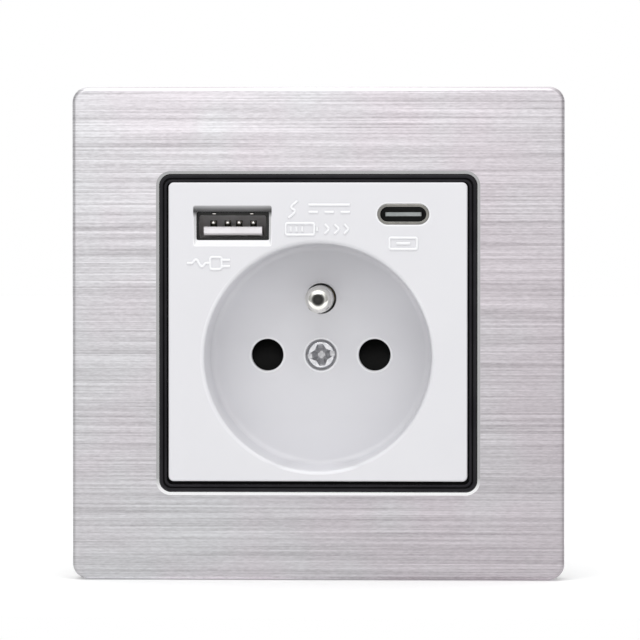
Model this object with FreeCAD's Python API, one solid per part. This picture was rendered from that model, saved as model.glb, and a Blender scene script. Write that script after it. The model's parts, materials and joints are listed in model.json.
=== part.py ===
"""Flush wall socket with an earth pin, a USB-A port and a USB-C port.

Millimetres. X runs to the right as seen from the room, Z up, Y into the wall.
The origin is the middle of the socket insert on the wall plane, so the face is at negative Y.
"""

import FreeCAD
import Part

import math
import os

from FreeCAD import Vector

# Wall-box screws and the steel plate they hold
box_pitch = 60.0
box_slot_w = 3.8
box_slot_length = 7.0
mount_rim = 5.5
mount_t = 1.2
mount_corner = 6.0

# Face panel: drawn sheet with a turned-down edge, wider than the plate it hides
face_cover = 7.5
face_stand = 9.5
sheet = 1.0
panel_depth = 5.0
face_corner = 2.7
face_roll = 0.9
aperture_edge = 0.65
aperture_edge_deep = 0.22

# Centre plate
plate_margin = 0.425
plate_stand = 1.1
plate_corner = 0.9
plate_edge = 0.35
plate_panel = 2.0
plate_skirt = 1.2
skirt_inset = 0.65
skirt_back = -3.4

# Trim ring and its carrier
plate_gap = 0.3
bead_outer = 0.55
bead_groove = 0.22
bead_inner = 0.48
bead_stand = 0.55
groove_depth = 0.4
ring_corner = 1.9
carrier_web = 1.5
carrier_wall = 1.8
foot_inset = 0.4
ledge_reach = 0.7
panel_fit = 0.1
rib_thick = 1.2
rib_reach = 6.0

# Well, measured at its rim
well_d = 39.7
well_depth = 15.0
well_draft = 1.0
well_wall = 1.4
well_floor = 2.0
well_drop = 4.4
rim_round = 0.7
floor_round = 1.2

# Pin pattern of the well floor
live_pitch = 19.0
live_hole_d = 5.65
earth_rise = 10.0
earth_d = 4.8
earth_hole_d = 5.4
earth_stand = 14.0
earth_tip_round = 2.1
earth_root_d = 4.3
earth_rivet_d = 3.0

# Central screw
screw_d = 3.5
screw_head_d = 4.9
screw_head_t = 1.3
screw_seat_d = 5.5
screw_boss_d = 8.4
screw_boss_t = 2.0
screw_grip = 5.0
slot_w = 0.9
slot_depth = 0.7

# Ports, placed from the plate's edge and from the top of the well
port_inset = 11.175
usb_a_rise = 3.05
usb_a_w = 12.7
usb_a_h = 5.0
usb_a_mouth_w = 13.5
usb_a_mouth_h = 6.9
usb_a_mouth_deep = 1.0
usb_a_wall = 0.3
usb_a_length = 9.3
usb_a_leg_proud = 0.1
usb_a_tongue_h = 1.5
usb_a_tongue_w = 10.2
usb_a_tongue_low = 0.85
usb_a_spring_rise = 1.2
usb_a_pitches = (-3.5, -1.0, 1.0, 3.5)
usb_c_rise = 5.08
usb_c_w = 9.0
usb_c_h = 3.6
usb_c_wall = 0.5
usb_c_length = 7.6
usb_c_recess = 0.15
usb_c_tongue_w = 6.4
usb_c_tongue_h = 0.7
usb_c_pitch = 1.0
port_fit = 0.1

# Base behind the plate
plug_pin = 19.0
pin_room = 2.2
board_room = 0.88
base_wall = 1.5
base_rear = 1.6
waist_start = 8.2
claw_room = 2.6
window_lap = 4.0
insert_fit = 0.25
base_screw_d = 2.9
base_screw_head_d = 5.2
base_screw_head_t = 1.6
base_screw_length = 9.0
base_boss_d = 5.6
base_screw_upper_room = 3.5
base_screw_upper_turn = 23.6
base_screw_lower_room = 2.4
base_screw_lower_turn = -38.9
thread_fit = 0.02

# Shutter and the cover behind it
slide_fit = 0.3
shutter_t = 3.2
shutter_travel = 6.2
shutter_blade_w = 6.8
shutter_lap = 0.45
shutter_bridge_drop = 3.9
shutter_bridge_h = 3.2
cover_t = 1.6
cover_side_room = 1.3
cover_post_d = 4.6
rail_t = 1.2
spring_d = 3.6
spring_wire = 0.5
spring_turns = 7
spring_foot_room = 0.375
spring_sides = 5
spring_steps = 10
cover_screw_inset = 6.2
cover_screw_rise = 9.8
small_screw_d = 2.2
small_head_d = 3.8
small_head_t = 1.1
small_screw_length = 7.0

# Contacts and terminals
strip = 0.8
contact_gap = 4.4
contact_open = 6.2
contact_h = 7.4
contact_front_room = 2.4
contact_back_room = 3.4
tail_w = 4.4
clamp_w = 7.4
clamp_deep = 7.6
clamp_h = 7.0
clamp_t = 1.1
clamp_rise = 6.3
clamp_back = 0.35
terminal_screw_d = 3.5
terminal_head_d = 4.8
wire_hole_d = 3.6
bracket_t = 1.2
bracket_w = 7.0

# Spreading claws
claw_stand = 1.9
claw_drop = 2.4
claw_pivot_y = 3.0
claw_gap = 4.8
claw_t = 1.2
claw_reach = 17.0
claw_out = 2.7
claw_eye = 1.7
claw_heel = 2.4
claw_web = 1.0
claw_web_start = 4.2
claw_tooth = 0.8
claw_tooth_run = 1.8
claw_tooth_pitch = 3.6
claw_stub_d = 2.4
claw_stub = 1.0
claw_screw_d = 3.0
claw_screw_head_d = 5.4
claw_screw_head_t = 1.8
claw_screw_length = 24.6
nut_w = 4.4
nut_t = 2.6
lug_t = 1.5
lug_reach = 2.4
running_fit = 0.05

# Charger
board_t = 1.6
board_side_room = 2.025
board_front_back = -2.9
board_tail_half = 12.6
board_back_room = 2.0
core_w = 13.0
core_h = 8.6
core_deep = 7.0
core_back_room = 2.5
core_leg = 1.7
core_drop = 0.6
charger_room = 0.33
bobbin_d = 8.4
bobbin_deep = 9.8
bobbin_bore = 3.2
cheek_t = 0.8
input_can_d = 6.0
input_can_h = 8.6
input_can_x = -8.6
input_can_ahead = 6.2
output_can_d = 5.0
output_can_h = 4.6
output_can_x = -3.2
output_can_ahead = 8.4
chip_w = 5.0
chip_deep = 4.0
chip_t = 1.5
chip_x = 5.2
chip_ahead = 7.7
lead_d = 1.2

# Levels along Y, from the room into the wall
face_y = -face_stand
plate_y = face_y - plate_stand
floor_y = plate_y + well_depth
floor_back = floor_y + well_floor
shutter_y = floor_back + slide_fit
cover_y = shutter_y + shutter_t + slide_fit
cover_back = cover_y + cover_t
bracket_y = cover_back
mount_y = -mount_t
base_inner_back = floor_y + plug_pin + pin_room
base_depth = base_inner_back + base_rear
contact_start = cover_back + contact_front_room
contact_length = base_inner_back - contact_back_room - contact_start
board_tail_back = base_inner_back - board_back_room
core_y = board_tail_back - core_back_room - core_deep / 2

# Places that follow from the sizes above; the frame hangs on the skirt by its ledge
well_z = -well_drop
earth_z = well_z + earth_rise
live_x = live_pitch / 2
well_r = well_d / 2
tube_r = well_r + well_wall
plate_half = well_drop + tube_r + plate_margin
plate_size = 2 * plate_half
usb_a_x = port_inset - plate_half
usb_a_z = well_z + well_r + usb_a_rise
usb_c_x = plate_half - port_inset
usb_c_z = well_z + well_r + usb_c_rise
mount_size = box_pitch + 2 * mount_rim
face_size = mount_size + 2 * face_cover
carrier_size = face_size - 2 * foot_inset
ring_in = plate_half + plate_gap
ring_out = ring_in + bead_inner + bead_groove + bead_outer
floor_r = well_r - well_depth * math.tan(math.radians(well_draft))
base_half = tube_r + insert_fit + base_wall
claw_x = base_half + claw_stand
claw_z = well_z - claw_drop
waist_half = claw_x - claw_eye - claw_room
cover_r = tube_r + insert_fit - cover_side_room
cover_screw_x = waist_half - cover_screw_inset
cover_screw_z = well_z + cover_screw_rise
carrier_front = face_y + sheet
frame_sag = plate_gap - ledge_reach + skirt_inset
board_z = usb_c_z + usb_c_h / 2 + port_fit
top_inner = board_z + board_t + port_fit
base_top = top_inner + base_wall
board_corner = math.hypot(board_tail_half, board_z + board_t)
base_r = max(board_corner + board_room, well_drop + tube_r + insert_fit) + base_wall
base_bottom = well_z - tube_r - insert_fit - base_wall
board_front_half = plate_half - skirt_inset - plate_skirt - board_side_room
shelf_z = board_z - core_drop - core_h - charger_room - base_wall
clamp_z = base_bottom + base_wall + clamp_rise
spring_foot = base_bottom + base_wall + spring_foot_room + rail_t


def place(points):
    """Corner points in the XZ plane from (x, z) pairs."""
    return [Vector(x, 0, z) for x, z in points]


def rounded(w, h, r, cx=0.0, cz=0.0):
    """Rounded rectangle as a face in the XZ plane."""
    a, b = w / 2, h / 2
    r = min(r, a - 0.01, b - 0.01)
    k = r * (1 - math.sqrt(0.5))
    edges = []
    for sx, sz, first in ((1, 1, 0), (-1, 1, 1), (-1, -1, 0), (1, -1, 1)):
        side = Vector(cx + sx * a, 0, cz + sz * (b - r))
        corner = Vector(cx + sx * (a - k), 0, cz + sz * (b - k))
        level = Vector(cx + sx * (a - r), 0, cz + sz * b)
        ends = (level, side) if first else (side, level)
        edges.append(Part.Arc(ends[0], corner, ends[1]).toShape())
    joined = []
    for here, after in zip(edges, edges[1:] + edges[:1]):
        joined.append(here)
        if here.lastVertex().Point.distanceToPoint(after.firstVertex().Point) > 1e-6:
            joined.append(Part.makeLine(here.lastVertex().Point, after.firstVertex().Point))
    return Part.Face(Part.Wire(joined))


def slab(w, h, r, y0, y1, cx=0.0, cz=0.0):
    """Rounded rectangle extruded from y0 to y1."""
    face = rounded(w, h, r, cx, cz)
    face.translate(Vector(0, y0, 0))
    return face.extrude(Vector(0, y1 - y0, 0))


def rod(x, z, d, y0, y1):
    """Cylinder along Y."""
    return Part.makeCylinder(d / 2, y1 - y0, Vector(x, y0, z), Vector(0, 1, 0))


def post(x, y, d, z0, z1):
    """Cylinder along Z."""
    return Part.makeCylinder(d / 2, z1 - z0, Vector(x, y, z0), Vector(0, 0, 1))


def block(x0, x1, y0, y1, z0, z1):
    """Box between two corners."""
    return Part.makeBox(x1 - x0, y1 - y0, z1 - z0, Vector(x0, y0, z0))


def fuse(first, *others):
    """One solid from touching or overlapping ones, with no seams on flat faces."""
    return first.fuse(list(others)).removeSplitter()


def edges_at_y(shape, y, keep=lambda edge: True):
    """Edges that lie in the plane at y."""
    found = []
    for edge in shape.Edges:
        bounds = edge.BoundBox
        if abs(bounds.YMin - y) < 1e-4 and abs(bounds.YMax - y) < 1e-4 and keep(edge):
            found.append(edge)
    return found


def frustum_slab(w0, h0, r0, w1, h1, r1, y0, y1, cx, cz):
    """Rounded rectangle that changes size between y0 and y1."""
    front = rounded(w0, h0, r0, cx, cz)
    front.translate(Vector(0, y0, 0))
    back = rounded(w1, h1, r1, cx, cz)
    back.translate(Vector(0, y1, 0))
    return Part.makeLoft([front.OuterWire, back.OuterWire], True, True)


def path(points, radius):
    """Wire through points with a tangent arc at each inner corner."""
    edges = []
    start = points[0]
    for before, corner, after in zip(points, points[1:], points[2:]):
        back = (before - corner).normalize()
        ahead = (after - corner).normalize()
        half_turn = back.getAngle(ahead) / 2
        reach = radius / math.tan(half_turn)
        middle = (back + ahead).normalize()
        enter = corner + back * reach
        leave = corner + ahead * reach
        crest = corner + middle * (radius / math.sin(half_turn) - radius)
        edges.append(Part.makeLine(start, enter))
        edges.append(Part.Arc(enter, crest, leave).toShape())
        start = leave
    edges.append(Part.makeLine(start, points[-1]))
    return Part.Wire(edges)


def strip_solid(points, radius, thickness, width):
    """Bent strip: a centred thickness on a path, widened both ways across it."""
    wire = path(points, radius)
    middle = wire.makeOffset2D(-thickness / 2, join=0, fill=False, openResult=True)
    section = middle.makeOffset2D(thickness, join=0, fill=True, openResult=True)
    section.translate(width * -0.5)
    return section.extrude(width)


def screw(x, z, head_y, head_d, head_t, d, length):
    """Pan-head screw along Y, head to the front, with a plain slot."""
    head = rod(x, z, head_d, head_y - head_t, head_y)
    head = head.makeFillet(head_t * 0.45, edges_at_y(head, head_y - head_t))
    half = head_d / 2 + 0.5
    head = head.cut(block(x - half, x + half, head_y - head_t - 0.1, head_y - head_t * 0.5, z - 0.4, z + 0.4))
    shank = rod(x, z, d, head_y, head_y + length)
    shank = shank.makeChamfer(d * 0.2, edges_at_y(shank, head_y + length))
    return fuse(head, shank)


def mirror_x(shape):
    """The same piece on the other side of the insert."""
    return shape.mirror(Vector(0, 0, 0), Vector(1, 0, 0))


def save(name, *solids):
    """One STEP file per piece; like fasteners share one as separate solids."""
    shape = solids[0] if len(solids) == 1 else Part.makeCompound(list(solids))
    shape.exportStep("parts/" + name + ".step")
    print(name, len(shape.Solids), round(shape.Volume, 2), shape.isValid())


def metal_faceplate():
    """Drawn sheet panel: flat face, rolled edge, aperture for the ring with a shallow bevelled edge."""
    back = face_y + panel_depth
    outer = slab(face_size, face_size, face_corner, face_y, back, 0, -frame_sag)
    outer = outer.makeFillet(face_roll, edges_at_y(outer, face_y))
    inside = face_size - 2 * sheet
    hollow = slab(inside, inside, face_corner - sheet, face_y + sheet, back + 1, 0, -frame_sag)
    side = 2 * (ring_out + running_fit)
    hole = slab(side, side, ring_corner, face_y - 1, back, 0, -frame_sag)
    wide = side + 2 * aperture_edge
    bevel = frustum_slab(
        wide, wide, ring_corner + aperture_edge, side, side, ring_corner,
        face_y, face_y + aperture_edge_deep, 0, -frame_sag,
    )
    return outer.cut([hollow, hole, bevel])


def trim_frame():
    """Moulded carrier: double-beaded lip, web, skirt down to the wall, ribs and plate ledge."""
    crest = face_y - bead_stand
    web_back = carrier_front + carrier_web
    ledge_y = plate_y + plate_panel
    inset = face_size - 2 * sheet - 2 * panel_fit
    upper = slab(inset, inset, face_corner - sheet, carrier_front, face_y + panel_depth, 0, -frame_sag)
    foot = slab(carrier_size, carrier_size, face_corner, face_y + panel_depth, 0, 0, -frame_sag)
    body = fuse(upper, foot)
    cavity_side = inset - 2 * carrier_wall
    body = body.cut(slab(cavity_side, cavity_side, 1.0, web_back, 1, 0, -frame_sag))
    side = 2 * ring_out
    lip = slab(side, side, ring_corner, crest, web_back, 0, -frame_sag)
    groove_out = 2 * (ring_out - bead_outer)
    groove_in = groove_out - 2 * bead_groove
    bend = ring_corner - bead_outer
    groove = slab(groove_out, groove_out, bend, crest, crest + groove_depth, 0, -frame_sag)
    core = slab(groove_in, groove_in, bend, crest - 1, crest + 1, 0, -frame_sag)
    body = fuse(body, lip).cut(groove.cut(core))
    opening = 2 * ring_in
    body = body.cut(slab(opening, opening, plate_corner, crest - 1, ledge_y, 0, -frame_sag))
    through = opening - 2 * ledge_reach
    body = body.cut(slab(through, through, plate_corner, crest, 1, 0, -frame_sag))
    body = body.makeFillet(min(bead_inner, bead_outer) * 0.42, edges_at_y(body, crest))
    ribs = []
    reach = cavity_side / 2 + 0.5
    for turn in range(4):
        for offset in (-rib_reach * 3, rib_reach * 3):
            rib = block(
                offset - rib_thick / 2, offset + rib_thick / 2,
                web_back - 0.2, face_y + panel_depth, reach - rib_reach, reach,
            )
            rib.rotate(Vector(0, 0, 0), Vector(0, 1, 0), 90 * turn)
            rib.translate(Vector(0, 0, -frame_sag))
            ribs.append(rib)
    return fuse(body, *ribs)


def port_a_opening():
    """Chamfered mouth of the wide port and the pocket behind it for the shell."""
    mouth = frustum_slab(
        usb_a_mouth_w, usb_a_mouth_h, 0.3, usb_a_w, usb_a_h, 0.3,
        plate_y, plate_y + usb_a_mouth_deep, usb_a_x, usb_a_z,
    )
    grow = 2 * (usb_a_wall + port_fit)
    pocket = slab(
        usb_a_w + grow, usb_a_h + grow, 0.5, plate_y + usb_a_mouth_deep, 0, usb_a_x, usb_a_z,
    )
    return mouth, pocket


def port_c_opening():
    """Stadium hole of the small port."""
    grow = 2 * port_fit
    return slab(usb_c_w + grow, usb_c_h + grow, (usb_c_h + grow) / 2, plate_y - 1, 0, usb_c_x, usb_c_z)


def centre_plate():
    """White moulding: panel, skirt, drafted well with its floor, ports and screw seat."""
    panel = slab(plate_size, plate_size, plate_corner, plate_y, plate_y + plate_panel)
    panel = panel.makeFillet(plate_edge, edges_at_y(panel, plate_y))
    outer = plate_size - 2 * skirt_inset
    inner = outer - 2 * plate_skirt
    start = plate_y + plate_panel - 0.5
    skirt = slab(outer, outer, plate_corner, start, skirt_back).cut(
        slab(inner, inner, plate_corner, start - 1, skirt_back + 1)
    )
    tube = Part.makeCone(
        tube_r, floor_r + well_wall, well_depth + well_floor, Vector(0, plate_y, well_z), Vector(0, 1, 0)
    )
    tube = tube.common(block(-plate_half, plate_half, plate_y + 0.5, floor_back, -plate_half, plate_half))
    boss = rod(0, well_z, screw_boss_d, floor_back - 0.5, floor_back + screw_boss_t)
    plate = fuse(panel, skirt, tube, boss)
    well = Part.makeCone(well_r, floor_r, well_depth, Vector(0, plate_y, well_z), Vector(0, 1, 0))
    well = well.makeFillet(floor_round, edges_at_y(well, floor_y))
    plate = plate.cut(well)
    rim = edges_at_y(plate, plate_y, lambda edge: abs(edge.BoundBox.XLength - well_d) < 0.01)
    plate = plate.makeFillet(rim_round, rim)
    mouth, pocket = port_a_opening()
    cuts = [mouth, pocket, port_c_opening()]
    for x in (-live_x, live_x):
        cuts.append(rod(x, well_z, live_hole_d, floor_y - 1, floor_back + 1))
    cuts.append(rod(0, earth_z, earth_hole_d, floor_y - 1, floor_back + 1))
    cuts.append(rod(0, well_z, screw_seat_d, floor_y - 1, floor_y + screw_head_t + 0.2))
    cuts.append(rod(0, well_z, screw_d + 0.4, floor_y, floor_back + screw_boss_t + 1))
    return plate.cut(cuts)


def cover_screw():
    """Central screw: domed head with a cross recess crossed by a slot, sunk in its seat."""
    seat = floor_y + screw_head_t + 0.2
    head = rod(0, well_z, screw_head_d, seat - screw_head_t, seat)
    head = head.makeFillet(0.5, edges_at_y(head, seat - screw_head_t))
    top = seat - screw_head_t
    slot = block(-3, 3, top - 1, top + slot_depth, well_z - slot_w / 2, well_z + slot_w / 2)
    upright = block(-slot_w / 2, slot_w / 2, top - 1, top + slot_depth, well_z - 1.6, well_z + 1.6)
    shank = rod(0, well_z, screw_d, seat, bracket_y + bracket_t + screw_grip)
    shank = shank.makeChamfer(0.6, edges_at_y(shank, bracket_y + bracket_t + screw_grip))
    return fuse(head.cut([slot, upright]), shank)


def earth_pin():
    """Turned pin: rounded tip, thinner root through the moulding, riveted end."""
    r = earth_d / 2
    tip = floor_y - earth_stand
    flat = r - earth_tip_round
    k = earth_tip_round * (1 - math.sqrt(0.5))
    root = earth_root_d / 2
    shank = earth_rivet_d / 2
    head_y = bracket_y + bracket_t
    head = root + 0.3
    arc = Part.Arc(
        Vector(flat, tip, 0), Vector(r - k, tip + k, 0), Vector(r, tip + earth_tip_round, 0)
    ).toShape()
    corners = [
        Vector(r, tip + earth_tip_round, 0), Vector(r, floor_y, 0), Vector(root, floor_y, 0),
        Vector(root, bracket_y, 0), Vector(shank, bracket_y, 0), Vector(shank, head_y, 0),
        Vector(head, head_y, 0), Vector(head - 0.4, head_y + 0.8, 0), Vector(0, head_y + 0.8, 0),
        Vector(0, tip, 0), Vector(flat, tip, 0),
    ]
    lines = [Part.makeLine(a, b) for a, b in zip(corners, corners[1:])]
    pin = Part.Face(Part.Wire([arc] + lines)).revolve(Vector(0, 0, 0), Vector(0, 1, 0), 360)
    pin.translate(Vector(0, 0, earth_z))
    return pin


def insert_window(grow, y0, y1):
    """Space that the well tube and the charger need through plate and base."""
    round_part = rod(0, well_z, 2 * (tube_r + grow), y0, y1)
    half = usb_a_w / 2 - usb_a_x + usb_a_wall + grow
    low, high = shelf_z - window_lap, top_inner + grow
    square = slab(2 * half, high - low, 1.5, y0, y1, 0, (high + low) / 2)
    return fuse(round_part, square)


def box_slots(vertical):
    """Pair of slots at the spacing of wall-box screws."""
    cuts = []
    for side in (-1, 1):
        at = side * box_pitch / 2
        if vertical:
            cuts.append(slab(box_slot_w, box_slot_length, box_slot_w / 2, mount_y - 1, 1, 0, at))
        else:
            cuts.append(slab(box_slot_length, box_slot_w, box_slot_w / 2, mount_y - 1, 1, at, 0))
    return cuts


def base_screw_places():
    """Centres of the four screws between plate and base."""
    places = []
    for room, turn in (
        (base_screw_upper_room, base_screw_upper_turn), (base_screw_lower_room, base_screw_lower_turn),
    ):
        reach = tube_r + insert_fit + room
        x = reach * math.cos(math.radians(turn))
        z = well_z + reach * math.sin(math.radians(turn))
        places += [(-x, z), (x, z)]
    return places


def mounting_plate():
    """Pressed steel plate with the insert window, box slots and screw holes."""
    plate = slab(mount_size, mount_size, mount_corner, mount_y, 0)
    cuts = [insert_window(insert_fit, mount_y - 1, 1)] + box_slots(False) + box_slots(True)
    for x, z in base_screw_places():
        cuts.append(rod(x, z, base_screw_d + 0.3, mount_y - 1, 1))
    for x in (-claw_x, claw_x):
        cuts.append(rod(x, claw_z, claw_screw_d + 0.5, mount_y - 1, 1))
    return plate.cut(cuts)


def base_outline(half, radius, low, high, y0, y1):
    """Round housing cut flat at its sides, foot and top."""
    disc = rod(0, 0, 2 * radius, y0, y1)
    return disc.common(block(-half, half, y0, y1, low, high))


def socket_base():
    """Moulded housing: front collar, narrower waist, contact and charger chambers, terminals."""
    collar = base_outline(base_half, base_r, base_bottom, base_top, 0, waist_start)
    waist = base_outline(waist_half, base_r, base_bottom, base_top, waist_start - 0.5, base_depth)
    rear_edges = edges_at_y(waist, base_depth)
    waist = waist.makeFillet(1.0, rear_edges)
    bosses = []
    for x, z in base_screw_places():
        bosses.append(rod(x, z, base_boss_d, 0, base_screw_length + 1.5))
    lugs = []
    for side in (-1, 1):
        for lug_z in (claw_z - claw_lug_low(), claw_z + claw_lug_low() - lug_t):
            inner, outer = side * (base_half - 1), side * (claw_x + lug_reach)
            x0, x1 = min(inner, outer), max(inner, outer)
            lug = block(x0, x1, 0.3, claw_pivot_y + lug_reach, lug_z, lug_z + lug_t)
            lugs.append(lug)
    body = fuse(collar, waist, *lugs)
    chamber = base_outline(
        base_half - base_wall, base_r - base_wall, base_bottom + base_wall, base_top - base_wall,
        -1, waist_start - base_wall,
    )
    rear_chamber = base_outline(
        waist_half - base_wall, base_r - base_wall, base_bottom + base_wall, base_top - base_wall,
        0, base_inner_back,
    )
    body = body.cut([chamber, rear_chamber])
    ring_zone = rod(0, well_z, 2 * (tube_r + insert_fit), -1, cover_y)
    kept = [boss.cut(ring_zone) for boss in bosses]
    shelf = base_outline(
        waist_half - 0.5, base_r - 0.5, shelf_z, shelf_z + base_wall, cover_back, base_depth - 0.5,
    )
    walls = [shelf]
    for x in (-partition_x(), partition_x()):
        walls.append(block(
            x - 0.5, x + 0.5, cover_back + 3, base_depth - 0.5,
            base_bottom + 0.5, clamp_z + clamp_h / 2 + 1,
        ))
    posts = [
        rod(x, cover_screw_z, cover_post_d, cover_back, base_inner_back + 0.5)
        for x in (-cover_screw_x, cover_screw_x)
    ]
    body = fuse(body, *kept, *walls, *posts)
    cuts = []
    for x, z in base_screw_places():
        cuts.append(rod(x, z, base_screw_d, -1, base_screw_length))
    for side in (-1, 1):
        reach = claw_lug_low() + 1
        pivot_d = claw_stub_d + 2 * running_fit
        cuts.append(post(side * claw_x, claw_pivot_y, pivot_d, claw_z - reach, claw_z + reach))
        hole_end = cover_y + small_screw_length + 0.5
        cuts.append(rod(side * cover_screw_x, cover_screw_z, small_screw_d + thread_fit, 0, hole_end))
    lead_x = waist_half - base_wall - lead_d
    for side in (-1, 1):
        lead_y = contact_start + contact_length / 2
        cuts.append(post(side * lead_x, lead_y, lead_d + 0.6, shelf_z - 1, shelf_z + base_wall + 1))
    for x in terminal_places():
        cuts.append(rod(x, clamp_z, terminal_head_d + 0.6, base_inner_back - 1, base_depth + 1))
        cuts.append(post(x, wire_y(), wire_hole_d, base_bottom - 3, base_bottom + 4))
    return body.cut(cuts)


def claw_lug_low():
    """Outer face of a lug from the middle of its claw."""
    return claw_gap / 2 + claw_t + 0.15 + lug_t


def terminal_places():
    """Terminals stand in a row: live, earth, neutral."""
    return (-live_x, 0, live_x)


def partition_x():
    """Partition between two neighbouring terminals."""
    return live_x / 2


def clamp_front():
    """Front face of the terminal cages."""
    return base_inner_back - clamp_back - clamp_deep


def wire_y():
    """Wires enter between the tail and the screw's tip."""
    return clamp_front() + clamp_t + strip + wire_hole_d / 2


def base_screws():
    """Four thread-forming screws from the front of the mounting plate."""
    return [
        screw(
            x, z, mount_y, base_screw_head_d, base_screw_head_t, base_screw_d - thread_fit, base_screw_length,
        )
        for x, z in base_screw_places()
    ]


def contact_cover():
    """Cover over the contacts with rails and a spring seat for the shutter in front."""
    cover = rod(0, well_z, 2 * cover_r, cover_y, cover_back)
    half = waist_half - base_wall - 0.3
    cover = cover.common(block(-half, half, cover_y, cover_back, well_z - cover_r, shelf_z - 0.4))
    rail_x = live_x + shutter_blade_w / 2 + slide_fit
    low = shutter_low() - shutter_travel - 1.5
    rails = []
    for side in (-1, 1):
        x0, x1 = sorted((side * rail_x, side * (rail_x + rail_t)))
        rails.append(block(x0, x1, shutter_y, cover_y + 0.5, low, well_z + live_hole_d))
    seat = block(-spring_d, spring_d, shutter_y, cover_y + 0.5, spring_foot - rail_t, spring_foot)
    tab = block(-spring_d, spring_d, cover_y, cover_back, spring_foot - rail_t, well_z)
    cover = fuse(cover, seat, tab, *rails)
    cuts = []
    for x in (-live_x, live_x):
        cuts.append(rod(x, well_z, live_hole_d + 0.4, 0, base_depth))
        cuts.append(rod(math.copysign(cover_screw_x, x), cover_screw_z, small_screw_d + 0.2, 0, base_depth))
    cuts.append(rod(0, earth_z, earth_root_d + 0.2, 0, base_depth))
    cuts.append(rod(0, well_z, screw_d + 0.4, 0, base_depth))
    return cover.cut(cuts)


def cover_plate_screws():
    """Two small screws that hold the cover to the base."""
    return [
        screw(x, cover_screw_z, cover_y, small_head_d, small_head_t, small_screw_d, small_screw_length)
        for x in (-cover_screw_x, cover_screw_x)
    ]


def shutter_high():
    """Top edge of the closed shutter blades."""
    return well_z + live_hole_d / 2 + shutter_lap


def shutter_low():
    """Lower edge of the closed shutter's bridge."""
    return well_z - live_hole_d / 2 - shutter_bridge_drop - shutter_bridge_h + 1.0


def safety_shutter():
    """Fork of two blades joined by a bridge; each blade has a sloping face for the pin."""
    low = shutter_low()
    bridge_top = low + shutter_bridge_h
    half = live_x + shutter_blade_w / 2
    bridge = block(-half, half, shutter_y, shutter_y + shutter_t, low, bridge_top)
    pieces = []
    for x in (-live_x, live_x):
        corners = [
            Vector(x - shutter_blade_w / 2, shutter_y + shutter_t * 0.72, shutter_high()),
            Vector(x - shutter_blade_w / 2, shutter_y + shutter_t, shutter_high()),
            Vector(x - shutter_blade_w / 2, shutter_y + shutter_t, bridge_top - 0.5),
            Vector(x - shutter_blade_w / 2, shutter_y, bridge_top - 0.5),
            Vector(x - shutter_blade_w / 2, shutter_y, well_z - live_hole_d / 4),
        ]
        face = Part.Face(Part.makePolygon(corners + corners[:1]))
        pieces.append(face.extrude(Vector(shutter_blade_w, 0, 0)))
    return fuse(bridge, *pieces)


def coil(x, y, z0, z1, d, wire_d, turns):
    """Compression spring along Z, drawn with flat-sided wire and closed ends."""
    radius = (d - wire_d) / 2
    rise = (z1 - z0 - wire_d) / (turns * spring_steps)
    rings = []
    for step in range(turns * spring_steps + 1):
        angle = 2 * math.pi * step / spring_steps
        centre = Vector(x, y, z0 + wire_d / 2 + rise * step)
        outward = Vector(math.cos(angle), math.sin(angle), 0)
        ring = []
        for side in range(spring_sides):
            around = 2 * math.pi * side / spring_sides
            ring.append(
                centre + outward * (radius + wire_d / 2 * math.cos(around))
                + Vector(0, 0, wire_d / 2 * math.sin(around))
            )
        rings.append(ring)
    faces = [Part.Face(Part.makePolygon(ring + ring[:1])) for ring in (rings[0], rings[-1])]
    for ring, following in zip(rings, rings[1:]):
        for side in range(spring_sides):
            after = (side + 1) % spring_sides
            a, b, c, e = ring[side], ring[after], following[after], following[side]
            faces.append(Part.Face(Part.makePolygon([a, b, c, a])))
            faces.append(Part.Face(Part.makePolygon([a, c, e, a])))
    solid = Part.makeSolid(Part.makeShell(faces))
    if solid.Volume < 0:
        solid.reverse()
    return solid


def shutter_spring():
    """Spring between the seat on the cover and the shutter's bridge."""
    return coil(0, shutter_y + shutter_t / 2, spring_foot, shutter_low(), spring_d, spring_wire, spring_turns)


def pin_contact(x):
    """Sprung clip: a bent strip round the plug pin, with a tail down into its terminal."""
    foot = well_z - contact_h / 2 - strip
    pinch = contact_gap / 2 + strip / 2
    wide = contact_open / 2 + strip / 2
    top = well_z + contact_h / 2
    points = place([
        (x - wide, top), (x - pinch, well_z), (x - wide, foot + 1.6), (x - wide, foot),
        (x + wide, foot), (x + wide, foot + 1.6), (x + pinch, well_z), (x + wide, top),
    ])
    clip = strip_solid(points, 0.7, strip, Vector(0, contact_length, 0))
    clip.translate(Vector(0, contact_start + contact_length / 2, 0))
    tail_y = clamp_front() + clamp_t
    tail = block(x - tail_w / 2, x + tail_w / 2, tail_y, tail_y + strip, clamp_z - clamp_h / 2, foot)
    return fuse(clip, tail)


def earth_bracket():
    """Strip behind the cover: holds the pin and the central screw, then bends to its terminal."""
    y = bracket_y + bracket_t / 2
    tail_y = clamp_front() + clamp_t + bracket_t / 2
    top = earth_z + bracket_w / 2
    points = [
        Vector(0, y, top), Vector(0, y, clamp_z + clamp_h / 2 + 4.2),
        Vector(0, tail_y, clamp_z + clamp_h / 2 + 1.6), Vector(0, tail_y, clamp_z - clamp_h / 2),
    ]
    bracket = strip_solid(points, 1.2, bracket_t, Vector(bracket_w, 0, 0))
    side = (bracket_w - tail_w) / 2
    low = clamp_z + clamp_h / 2 + 1.6
    trims = [
        block(-bracket_w, -bracket_w / 2 + side, 0, base_depth, base_bottom, low),
        block(bracket_w / 2 - side, bracket_w, 0, base_depth, base_bottom, low),
    ]
    collar = rod(0, well_z, screw_d + 2.2, bracket_y + 0.2, bracket_y + bracket_t + 2.0)
    bracket = fuse(bracket.cut(trims), collar)
    return bracket.cut([
        rod(0, well_z, screw_d, 0, base_depth),
        rod(0, earth_z, earth_rivet_d, 0, base_depth),
    ])


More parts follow.
